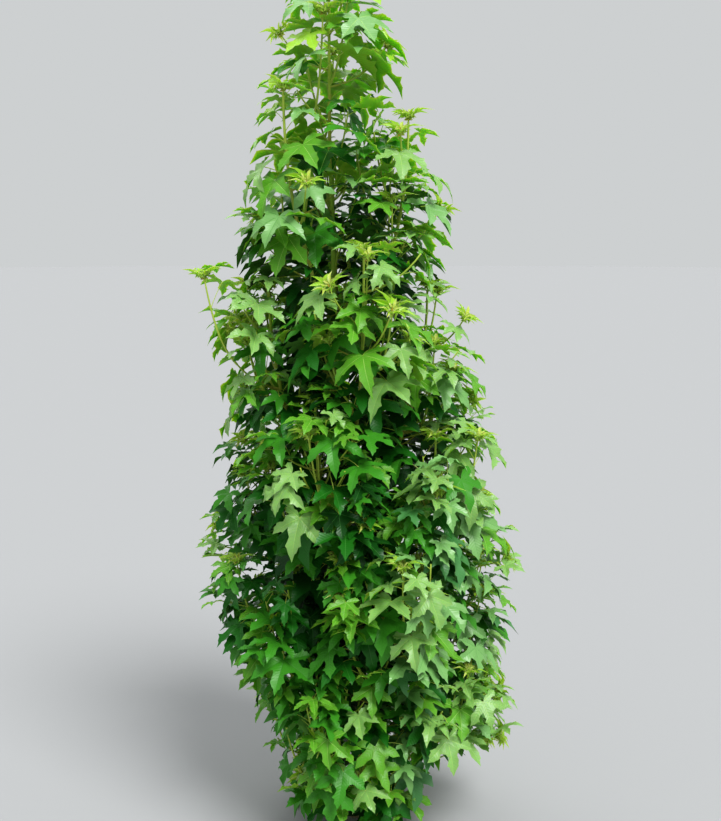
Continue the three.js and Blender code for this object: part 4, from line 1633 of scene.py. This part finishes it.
@dataclass
class FoliageMass:
    """One mass of foliage: its shoot and finer limbs, and the leaves and young tips along them."""

    mass: Mass
    room: Room
    # the greens of the leaves, with painted light and shade
    greens_with_painted_light: GreensWithPaintedLight
    seed: int
    rosette: Rosette = Rosette()

    twig_count: int = 5
    top_twig_count: int = 7
    twig_span: tuple[float, float] = (0.05, 0.8)
    twig_stagger: float = 0.5
    twig_spreads: tuple[float, ...] = (-52, 50, 0)
    spread_jitter: float = 34
    twig_length: float = 0.175
    twig_variety: tuple[float, float] = (0.85, 1.15)
    twig_ends_share: float = 0.6
    shoot_bend_share: float = 0.45

    airy_from: float = 1.75  # the height over which sprays are fewer and stand further apart
    airy_step: float = 1.12
    uprights_on_shoot: tuple[int, int] = (6, 4)  # below that height, and over it
    uprights_on_twig: tuple[int, int] = (2, 1)
    upright_span: tuple[float, float] = (0.04, 0.8)
    upright_span_on_twig: tuple[float, float] = (0.3, 0.98)
    upright_aside: tuple[float, float] = (0.2, 1.2)
    upright_lengths: tuple[float, float] = (0.12, 0.27)
    reach_shares: tuple[float, float] = (0.76, 1.02)
    turn_jitter: float = 0.4

    leader_twig_count: int = 11
    leader_twigs_from: float = 1.44
    leader_twig_lengths: tuple[float, float] = (0.12, 0.19)
    leader_jitter: float = 0.3

    inner_step: float = 0.026
    inner_lengths: tuple[float, float] = (0.06, 0.20)
    inner_on_bough: tuple[float, float] = (0.15, 1.0)
    inner_on_shoot: tuple[float, float] = (0.05, 0.6)
    inner_reach: float = 0.72
    inner_leaf_reach: float = 0.86

    skin_rings: int = 5  # of the rough surface by which a twig's room is tested
    skin_sides: int = 3
    skin_extra: float = 0.001
    skin_from: float = 0.15

    fewest_leaves: int = 2
    leaf_offset: float = 0.6
    last_leaf: float = 0.985
    past_last_leaf: float = 0.05
    tips_from: float = 0.62  # of the crown's reach, where its young tips begin
    roominess: float = 0.5  # this and the next three weigh what makes a place good for a leaf
    bigness: float = 0.5
    outwardness: float = 0.05
    luck: float = 0.03
    crowding: float = 0.06  # how much worse a place is whose petiole points straight outwards
    crowding_from: float = 0.5
    neighbourhood: float = 0.24  # leaves whose middles lie this near could touch
    leaf_crease: float = 70
    twig_crease: float = 60

    def __post_init__(self) -> None:
        """Grows the shoot and the side twigs that the solids have."""
        draws = Draws(self.seed)
        self.draws = Draws(self.seed + 1)
        self.shoot = self.main_shoot()
        self.outer = [self.shoot, *self.side_twigs(draws), *self.set_twigs(Rank.FILLING, FILLING_TWIGS)]
        self.inner: list[Limb] = []
        self.leaves, self.stems = Pile(), Pile()
        self.tally = 0

    def main_shoot(self) -> Limb:
        """Grows the shoot on from the bough.

        Returns:
            The shoot, which straightens towards the light.
        """
        mass = self.mass
        bend = mass.tip + mass.way * mass.rise * self.shoot_bend_share
        end = bend + UP * mass.rise * (1 - self.shoot_bend_share)
        return Limb(Rank.SHOOT, Line((mass.tip, bend, end)), heading(mass.angle))

    def side_twigs(self, draws: Draws) -> list[Limb]:
        """The solids' own side twigs.

        Args:
            draws: A source of numbers that stands where the solids' source stood.

        Returns:
            The twigs, from the lowest to the highest.
        """
        top = self.mass.name == "top"
        count = self.top_twig_count if top else self.twig_count
        twigs = []
        for i in range(count):
            step = (i + self.twig_stagger * draws.next()) / (count - self.twig_stagger)
            share = mixed(*self.twig_span, step)
            spread = i * GOLDEN_TURN if top else math.radians(self.twig_spreads[i % len(self.twig_spreads)])
            angle = self.mass.angle + spread + math.radians(self.spread_jitter) * (draws.next() - 0.5)
            middling = mixed(self.twig_ends_share, 1.0, math.sin(math.pi * share))
            length = self.twig_length * middling * mixed(*self.twig_variety, draws.next())
            twigs.append(self.branch(Rank.SIDE, self.shoot.line.at(share), angle, length))
        return twigs

    @staticmethod
    def branch(rank: Rank, start: np.ndarray, angle: float, length: float) -> Limb:
        """A limb that leaves its parent and turns up, as its rank does.

        Args:
            rank: The rank.
            start: Where it leaves its parent.
            angle: The heading that it leaves in.
            length: Its length.

        Returns:
            The limb.
        """
        out, habit = heading(angle), rank.value
        ways = [start + out * length * part[0] + UP * length * part[1] for part in (habit.bend, habit.end)]
        return Limb(rank, Line((start, *ways)), out)

    def set_twigs(self, rank: Rank, table: dict[str, tuple[tuple[float, float, float], ...]]) -> list[Limb]:
        """The twigs that a table sets for this mass."""
        rows = [(self.shoot.line.at(share), *row) for share, *row in table.get(self.mass.name, ())]
        return [self.branch(rank, start, math.radians(degrees), length) for start, degrees, length in rows]

    def leader_twigs(self) -> list[Limb]:
        """Grows the twigs round the upper end of the trunk, under the topmost mass.

        Returns:
            The twigs, or none for any other mass.
        """
        if self.mass.name != "top":
            return []
        draws, limbs = self.draws, []
        for i in range(self.leader_twig_count):
            height = mixed(self.leader_twigs_from, self.mass.tip[2], i / self.leader_twig_count)
            angle = i * GOLDEN_TURN + draws.between(-self.leader_jitter, self.leader_jitter)
            start = self.room.crown.trunk.centre(height)
            limbs.append(self.branch(Rank.LEADER, start, angle, draws.between(*self.leader_twig_lengths)))
        return limbs

    def grow(self, wood: BVHTree) -> None:
        """Keeps the side twigs that have room and touch no bough, and adds finer limbs.

        Args:
            wood: The trunk and the boughs.
        """
        draws, jitter = self.draws, self.turn_jitter
        twigs = [twig for twig in self.outer[1:] if self.fits(twig, wood)]
        airy = int(self.mass.middle[2] > self.airy_from)
        uprights = []
        on_shoot = self.uprights_on_shoot[airy]
        for i in range(on_shoot):
            share = mixed(*self.upright_span, (i + draws.next()) / on_shoot)
            angle = self.mass.angle + math.pi / 2 + i * GOLDEN_TURN + draws.between(-jitter, jitter)
            uprights.append((self.shoot, share, angle))
        for twig in [twig for twig in twigs if twig.rank is Rank.SIDE]:
            along = math.atan2(twig.out[1], twig.out[0])
            for i in range(self.uprights_on_twig[airy]):
                share = mixed(*self.upright_span_on_twig, (i + draws.next()) / self.uprights_on_twig[0])
                side = 1 if (i + len(uprights)) % 2 else -1
                uprights.append((twig, share, along + side * draws.between(*self.upright_aside)))
        for parent, share, angle in uprights:
            start, length = parent.line.at(share), draws.between(*self.upright_lengths)
            limb = self.branch(Rank.UPRIGHT, start, angle, length)
            if self.fits(limb, wood):
                limb.reach_share = draws.between(*self.reach_shares)
                twigs.append(limb)
        reaching = self.set_twigs(Rank.REACHING, REACHING_TWIGS)
        self.outer = [self.shoot, *twigs, *reaching, *self.leader_twigs()]
        self.grow_inner()

    def grow_inner(self) -> None:
        """Adds the shaded twigs along the upper part of the bough and the lower part of the shoot."""
        if not self.mass.bough:
            return
        draws, jitter = self.draws, self.turn_jitter
        lines = ((Line(self.mass.bough), self.inner_on_bough), (self.shoot.line, self.inner_on_shoot))
        for line, (start, end) in lines:
            count = int(line.length * (end - start) / self.inner_step)
            for i in range(count):
                share = mixed(start, end, (i + draws.next()) / count)
                angle = i * GOLDEN_TURN + draws.between(-jitter, jitter)
                limb = self.branch(Rank.INNER, line.at(share), angle, draws.between(*self.inner_lengths))
                if self.room.in_crown(limb.line.at(OUTER_PART), self.inner_reach).all():
                    self.inner.append(limb)

    def fits(self, limb: Limb, wood: BVHTree) -> bool:
        """Tells whether there is room for a limb.

        Args:
            limb: The limb.
            wood: The trunk and the boughs.

        Returns:
            True if it ends inside the mass's space and touches no bough.
        """
        if not self.room.holds(limb.line.at(OUTER_PART)).all():
            return False
        skin = limb.skin(self.skin_rings, self.skin_sides, self.skin_extra, self.skin_from)
        return not wood.overlap(tree_of(*skin))

    def hang(self, limbs: list[Limb], maker: LeafMaker, hung: Hung, wood: BVHTree) -> None:
        """Hangs the leaves along some limbs, and opens the young ones at their tips.

        Args:
            limbs: The outer or the inner limbs of the mass.
            maker: What places and builds the leaves.
            hung: The leaves that hang so far.
            wood: All limbs of the tree.
        """
        for limb in limbs[::-1]:
            habit, last = limb.rank.value, 0.0
            step = habit.leaf_step * (self.airy_step if limb.line.at(0.5)[2] > self.airy_from else 1.0)
            count = max(self.fewest_leaves, round(limb.line.length * (1 - habit.bare) / step))
            # how light the spray is: painted light and shade, and a random tone
            spray_tone_and_painted_light = self.greens_with_painted_light.spray(limb, self.draws)
            for i in range(count):
                share = min(mixed(habit.bare, 1.0, (i + self.leaf_offset) / count), self.last_leaf)
                youth = (share - habit.bare) / (1 - habit.bare)
                if self.hang_one(Bud(limb, share, i * GOLDEN_TURN, youth, spray_tone_and_painted_light), maker, hung, wood):
                    last = share
            if limb.rank in (Rank.UPRIGHT, Rank.REACHING, Rank.LEADER):
                limb.end = min(last + self.past_last_leaf, 1.0) if last else 0.0
            if self.draws.next() < habit.tip_chance and limb.end:
                tip = limb.line.at(limb.end)[None]
                if limb is self.shoot or self.room.crown.shares(tip)[0] > self.tips_from:
                    self.rosette.open(limb, maker, self.draws, self.leaves, self.stems)

    def allowed(self, limb: Limb, points: np.ndarray) -> np.ndarray:
        """Tells which points a leaf may reach.

        Args:
            limb: The limb that bears it.
            points: The points, in rows.

        Returns:
            True for each point that it may reach.
        """
        if limb.rank is Rank.INNER:
            return self.room.in_crown(points, self.inner_leaf_reach)
        if limb.rank is Rank.LEADER:
            return self.room.in_crown(points)
        return self.room.holds(points, limb.reach_share)

    def hang_one(self, bud: Bud, maker: LeafMaker, hung: Hung, wood: BVHTree) -> bool:
        """Hangs one leaf in the roomiest place that is clear.

        Args:
            bud: Where the leaf is due.
            maker: What places and builds it.
            hung: The leaves that hang so far.
            wood: All limbs of the tree.

        Returns:
            True if the leaf hangs, False if there is no place for it.
        """
        crown = self.room.crown
        postures = maker.postures(bud, self.draws)
        bend = Bend.drawn(self.draws, bud.youth)
        rims = maker.coarse(postures, bend)
        middles = rims[:, 1:].mean(1)
        allowed = self.allowed(bud.limb, rims.reshape(-1, 3)).reshape(rims.shape[:2]).all(1)
        luck = self.draws.several(len(middles), 0, self.luck)
        outwards = np.maximum(postures.petiole @ bud.limb.out - self.crowding_from, 0)
        scores = self.roominess * hung.room(middles) + self.bigness * postures.length
        scores = scores + self.outwardness * crown.shares(middles) + (luck - self.crowding * outwards)
        for i in sorted(np.flatnonzero(allowed & ~crown.in_hollow(middles)), key=lambda i: -scores[i]):
            posture = postures.one(i)
            if wood.overlap(tree_of(rims[i], maker.rim_faces)):
                continue
            whole = maker.outline(rims[i], posture)
            if not hung.clear(whole, middles[i], self.neighbourhood):
                continue
            hung.middles.append(middles[i])
            hung.trees.append(whole)
            shapes = maker.shaded_shapes if bud.limb.rank is Rank.INNER else maker.shapes
            shape = shapes[self.tally % len(shapes)]
            green = self.greens_with_painted_light.leaf(bud, middles[i], self.draws)
            maker.build(self.leaves, self.stems, posture, bend, green, shape)
            self.tally += 1
            return True
        return False

    def build_stems(self) -> None:
        """Adds the wood of all limbs to the stems."""
        for limb in [*self.outer, *self.inner]:
            if not limb.end:
                continue
            habit = limb.rank.value
            corners, faces = limb.skin(habit.rings, habit.sides)
            shares = (faces.max(1) // habit.sides) / habit.rings
            self.stems.add(corners, faces, np.where(shares < habit.old_share, TWIG_TAN, TWIG_GREEN))

    def pieces(
        self, leaf_materials: list[bpy.types.Material], stem_materials: list[bpy.types.Material]
    ) -> None:
        """Makes the objects of the mass in place of its solid.

        Args:
            leaf_materials: The finishes of the leaves.
            stem_materials: The finishes of the twigs and petioles.
        """
        self.build_stems()
        for name, pile, materials, crease, slot in (
            (f"leaves_{self.mass.name}", self.leaves, leaf_materials, self.leaf_crease, "foliage"),
            (f"twigs_{self.mass.name}", self.stems, stem_materials, self.twig_crease, "young_bark"),
        ):
            piece = pile.piece(name, materials, crease)
            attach(piece, BODY)
            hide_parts(f"foliage_{self.mass.name}")
            LOG.info("%s: %d triangles", name, len(piece.data.polygons))


def tree_of(corners: np.ndarray, faces: Sequence[Sequence[int]]) -> BVHTree:
    """A search tree of some triangles."""
    return BVHTree.FromPolygons(corners.tolist(), [tuple(int(c) for c in face) for face in faces])


def deselect() -> None:
    """Leaves nothing selected, so that an operator acts on new work alone."""
    for thing in bpy.context.scene.objects:
        thing.select_set(False)


@dataclass(frozen=True)
class TrunkBark:
    """The trunk as a grown surface: fissured bark that runs up from a toed flare."""

    form: TrunkForm
    sides: int = 16
    rings: int = 60
    crowding: float = 1.35
    fissure_mm: float = 7.0
    fissure_stretch: float = 7.0
    fissure_depth: float = 0.0011
    fissure_sharpness: float = 0.6
    ridge_level: float = 0.5
    lump_mm: float = 45.0
    lump_depth: float = 0.0009
    refine_levels: int = 2
    rim_from: float = 0.9

    def build(self) -> bpy.types.Object:
        """Extrudes the trunk ring by ring from its flat cut, refines it, and presses its bark in.

        Returns:
            The trunk.
        """
        bpy.ops.mesh.primitive_circle_add(vertices=self.sides, radius=1.0, fill_type="NGON")
        trunk = bpy.context.object
        trunk.name = trunk.data.name = "bark_trunk"
        heights = [self.form.top * (i / self.rings) ** self.crowding for i in range(self.rings + 1)]
        bpy.ops.object.mode_set(mode="EDIT")
        for below, above in zip(heights, heights[1:]):
            bpy.ops.mesh.extrude_region_move(TRANSFORM_OT_translate={"value": (0, 0, above - below)})
        bpy.ops.object.mode_set(mode="OBJECT")
        refine = trunk.modifiers.new("refine", "SUBSURF")
        refine.subdivision_type = "SIMPLE"
        refine.levels = refine.render_levels = self.refine_levels
        bpy.ops.object.modifier_apply(modifier=refine.name)
        self.press(trunk.data)
        bpy.ops.object.shade_smooth_by_angle(angle=math.radians(CREASE_DEGREES))
        trunk.data.materials.append(TRUNK_FINISH.material())
        return trunk

    def press(self, mesh: bpy.types.Mesh) -> None:
        """Moves every corner out to the trunk's line, taper and flare, less the depth of its fissures.

        Args:
            mesh: The straight trunk of radius 1, changed in place.
        """
        fine = 1 / (self.fissure_mm * MILLIMETRE)
        coarse = 1 / (self.lump_mm * MILLIMETRE)
        for corner in mesh.vertices:
            x, y, height = corner.co
            share = min(math.hypot(x, y), 1.0)
            angle = math.atan2(y, x)
            radius = self.form.radius(height, angle)
            out = heading(angle)
            place = self.form.centre(height) + out * radius * share
            if share > self.rim_from:
                at = Vector((place[0] * fine, place[1] * fine, height * fine / self.fissure_stretch))
                fissure = abs(noise.noise(at)) ** self.fissure_sharpness
                lump = noise.noise(Vector(place) * coarse)
                relief = lump * self.lump_depth - (self.ridge_level - fissure) * self.fissure_depth
                place = place + out * relief * min(radius / self.form.foot_radius, 1.0)
            corner.co = place


@dataclass(frozen=True)
class BoughBark:
    """A bough as a grown surface: it leaves the trunk from a collar and is ringed with old bud scars."""

    trunk: TrunkForm
    mass: Mass
    foot_share: float = 0.42
    tip_radius: float = 0.0045
    least_taper: float = 0.001
    bevel_steps: int = 2
    curve_steps: int = 90
    line_steps: int = 200
    collar: float = 0.35
    collar_length: float = 0.03
    scar_spacing: float = 0.055
    scar_height: float = 0.0007
    scar_width: float = 0.004
    knob_mm: float = 14.0
    knob_height: float = 0.0006

    def build(self, material: bpy.types.Material) -> bpy.types.Object:
        """Sweeps a circle along the bough's curve, then models collar, scars and knobs.

        Args:
            material: The finish of its bark.

        Returns:
            The bough.
        """
        foot, leaving, arriving, tip = self.mass.bough
        foot_radius = max(self.trunk.radius(foot[2]) * self.foot_share, self.tip_radius + self.least_taper)
        bpy.ops.curve.primitive_bezier_curve_add()
        bough = bpy.context.object
        bough.name = f"bark_bough_{self.mass.name}"
        start, end = bough.data.splines[0].bezier_points
        for point in (start, end):
            point.handle_left_type = point.handle_right_type = "FREE"
        start.co, start.handle_right, start.handle_left = foot, leaving, foot - (leaving - foot)
        end.co, end.handle_left, end.handle_right = tip, arriving, tip + (tip - arriving)
        start.radius, end.radius = foot_radius, self.tip_radius
        bough.data.bevel_depth = 1.0
        bough.data.bevel_resolution = self.bevel_steps
        bough.data.resolution_u = self.curve_steps
        bough.data.use_fill_caps = True
        bpy.ops.object.convert(target="MESH")
        bough = bpy.context.object
        bough.data.name = bough.name
        self.model(bough.data)
        bpy.ops.object.shade_smooth_by_angle(angle=math.radians(CREASE_DEGREES))
        bough.data.materials.clear()
        bough.data.materials.append(material)
        return bough

    def model(self, mesh: bpy.types.Mesh) -> None:
        """Moves every corner away from the bough's line by its collar, scars and knobs.

        Args:
            mesh: The smooth bough, changed in place.
        """
        line = Line(self.mass.bough)
        shares = np.linspace(0, 1, self.line_steps)
        points = line.at(shares)
        for corner in mesh.vertices:
            place = np.array(corner.co)
            apart = np.linalg.norm(points - place, axis=1)
            nearest = int(apart.argmin())
            travelled = shares[nearest] * line.length
            out = place - points[nearest]
            radius = max(float(np.linalg.norm(out)), NEARLY_ZERO)
            collar = self.collar * math.exp(-travelled / self.collar_length)
            past = (travelled % self.scar_spacing - self.scar_spacing / 2) / self.scar_width
            scar = self.scar_height * math.exp(-past * past)
            knob = self.knob_height * noise.noise(Vector(place) / (self.knob_mm * MILLIMETRE))
            corner.co = place + out / radius * (radius * collar + scar + knob)


@dataclass(frozen=True)
class PhotoCamera:
    """The camera of the photograph, at eye height in front of the tree and tipped down a little."""

    distance: float = 2.60
    eye_height: float = 1.60
    pitch_degrees: float = 9.7
    focal_pixels: float = 1000.0
    frame_height_pixels: float = 821.0
    sensor: float = 36.0

    def place(self) -> None:
        """Adds the camera and makes it the scene's."""
        tilt = math.radians(90 - self.pitch_degrees)
        bpy.ops.object.camera_add(location=(0, -self.distance, self.eye_height), rotation=(tilt, 0, 0))
        camera = bpy.context.object
        camera.data.sensor_width = self.sensor
        camera.data.lens = self.sensor * self.focal_pixels / self.frame_height_pixels
        bpy.context.scene.camera = camera


@dataclass(frozen=True)
class Lamp:
    """One soft light, as even as daylight, that shines from a place towards the tree's foot."""

    name: str
    place: tuple[float, float, float]
    spread_degrees: float
    strength: float

    def add(self) -> None:
        """Adds the lamp to the scene."""
        bpy.ops.object.light_add(type="SUN", location=self.place)
        lamp = bpy.context.object
        lamp.name = lamp.data.name = self.name
        lamp.data.angle = math.radians(self.spread_degrees)
        lamp.data.energy = self.strength
        lamp.rotation_euler = (-Vector(self.place)).to_track_quat("-Z", "Y").to_euler()


@dataclass(frozen=True)
class Studio:
    """A plain pale floor and soft light from above, stronger from the upper right and from behind."""

    floor_radius: float = 60.0
    floor_sides: int = 96
    floor_colour: str = "#a1a2a3"
    floor_roughness: float = 1.0
    floor_gloss: float = 0.0
    sky_colour: str = "#eef1f2"
    sky_strength: float = 0.62
    lamps: tuple[Lamp, ...] = (
        Lamp("key_light", (1.4, -1.9, 3.4), spread_degrees=26, strength=2.7),
        Lamp("back_light", (-0.5, 1.6, 2.4), spread_degrees=60, strength=1.1),
    )

    def build(self) -> None:
        """Adds the floor, the sky and the lamps."""
        bpy.ops.mesh.primitive_circle_add(
            vertices=self.floor_sides, radius=self.floor_radius, fill_type="NGON"
        )
        floor = bpy.context.object
        floor.name = floor.data.name = "studio_floor"
        material, _, shader = new_material("floor_matt")
        shader.inputs["Base Color"].default_value = linear(self.floor_colour)
        shader.inputs["Roughness"].default_value = self.floor_roughness
        shader.inputs["Specular IOR Level"].default_value = self.floor_gloss
        floor.data.materials.append(material)
        floor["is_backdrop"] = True
        world = bpy.data.worlds.new("pale_sky")
        bpy.context.scene.world = world
        world.use_nodes = True
        sky = world.node_tree.nodes["Background"]
        sky.inputs["Color"].default_value = linear(self.sky_colour)
        sky.inputs["Strength"].default_value = self.sky_strength
        for lamp in self.lamps:
            lamp.add()
        bpy.context.scene.view_settings.view_transform = "Standard"
        bpy.context.scene.view_settings.look = "Medium High Contrast"


class Sweetgum:
    """The whole tree: trunk, boughs and masses of foliage."""

    SEED_STEP = 7919
    BOX_SHARE, BOX_EXTRA, BOX_KEPT = 0.03, 0.010, 0.8
    TRUNK_STEPS, TRUNK_SIDES = 30, 8
    BOUGH_STEPS, BOUGH_SIDES, BOUGH_RADII = 16, 6, (0.009, 0.005)
    TWIG_SIDES, TWIG_ROOM = 3, 0.0008

    def __init__(self, low: Vector, high: Vector) -> None:
        """Plans the tree inside the model's box, with the small overreach that leaves may have.

        Args:
            low: The lowest corner of the box.
            high: The highest corner of the box.
        """
        self.trunk = TrunkForm()
        self.crown = CrownForm(self.trunk)
        self.masses = TreePlan(self.trunk, self.crown).masses()
        spare = (np.array(high) - np.array(low)) * self.BOX_SHARE + self.BOX_EXTRA
        self.low = np.array(low) - spare * self.BOX_KEPT
        self.high = np.array(high) + spare * self.BOX_KEPT

    def wood_tree(self, foliage: list[FoliageMass]) -> BVHTree:
        """A search tree of the tree's wood.

        Args:
            foliage: The masses whose thin limbs are wanted as well as the trunk and the boughs.

        Returns:
            The search tree.
        """
        heights = np.linspace(0, self.trunk.top, self.TRUNK_STEPS)
        line = np.array([self.trunk.centre(h) for h in heights])
        parts = [tube(line, np.array([self.trunk.radius(h) for h in heights]), self.TRUNK_SIDES)]
        shares, radii = np.linspace(0, 1, self.BOUGH_STEPS), np.linspace(*self.BOUGH_RADII, self.BOUGH_STEPS)
        for mass in self.masses[:-1]:
            parts.append(tube(Line(mass.bough).at(shares), radii, self.BOUGH_SIDES))
        for group in foliage:
            for limb in (*group.outer, *group.inner):
                parts.append(limb.skin(limb.rank.value.rings // 2, self.TWIG_SIDES, self.TWIG_ROOM))
        shift, corners, faces = 0, [], []
        for part_corners, part_faces in parts:
            corners.append(part_corners)
            faces.append(part_faces + shift)
            shift += len(part_corners)
        return tree_of(np.concatenate(corners), np.concatenate(faces))

    def build_limbs(self) -> None:
        """Makes the trunk and the boughs in place of their solids."""
        trunk = TrunkBark(self.trunk).build()
        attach(trunk, BODY)
        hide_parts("trunk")
        LOG.info("%s: %d faces", trunk.name, len(trunk.data.polygons))
        material = BOUGH_FINISH.material()
        for mass in self.masses[:-1]:
            bough = BoughBark(self.trunk, mass).build(material)
            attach(bough, BODY)
            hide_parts(f"bough_{mass.name}")
            LOG.info("%s: %d faces", bough.name, len(bough.data.polygons))

    def build_foliage(self) -> None:
        """Makes the twigs and leaves in place of the masses."""
        foliage, greens_with_painted_light = [], GreensWithPaintedLight(self.crown)
        for i, mass in enumerate(self.masses):
            room = Room(mass, self.masses, self.crown, self.low, self.high)
            foliage.append(FoliageMass(mass, room, greens_with_painted_light, self.SEED_STEP * (i + 1)))
        wood = self.wood_tree([])
        for group in foliage:
            group.grow(wood)
        wood = self.wood_tree(foliage)
        maker, hung = LeafMaker(), Hung()
        leaf_materials = [finish.material() for finish in LEAF_FINISHES]
        stem_materials = [finish.material() for finish in STEM_FINISHES]
        for group in foliage:
            group.hang(group.inner, maker, hung, wood)
        LOG.info("inner leaves: %d", len(hung.middles))
        for group in foliage:
            group.hang(group.outer, maker, hung, wood)
            group.pieces(leaf_materials, stem_materials)
        LOG.info("grown leaves: %d", len(hung.middles))


def main() -> None:
    """Builds the camera, the studio and the tree, and notes the sizes."""
    logging.basicConfig(level=logging.INFO, format="%(message)s")
    cad_low, cad_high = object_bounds()
    deselect()
    PhotoCamera().place()
    Studio().build()
    deselect()
    tree = Sweetgum(cad_low, cad_high)
    tree.build_limbs()
    tree.build_foliage()


if __name__ == "__main__":
    main()
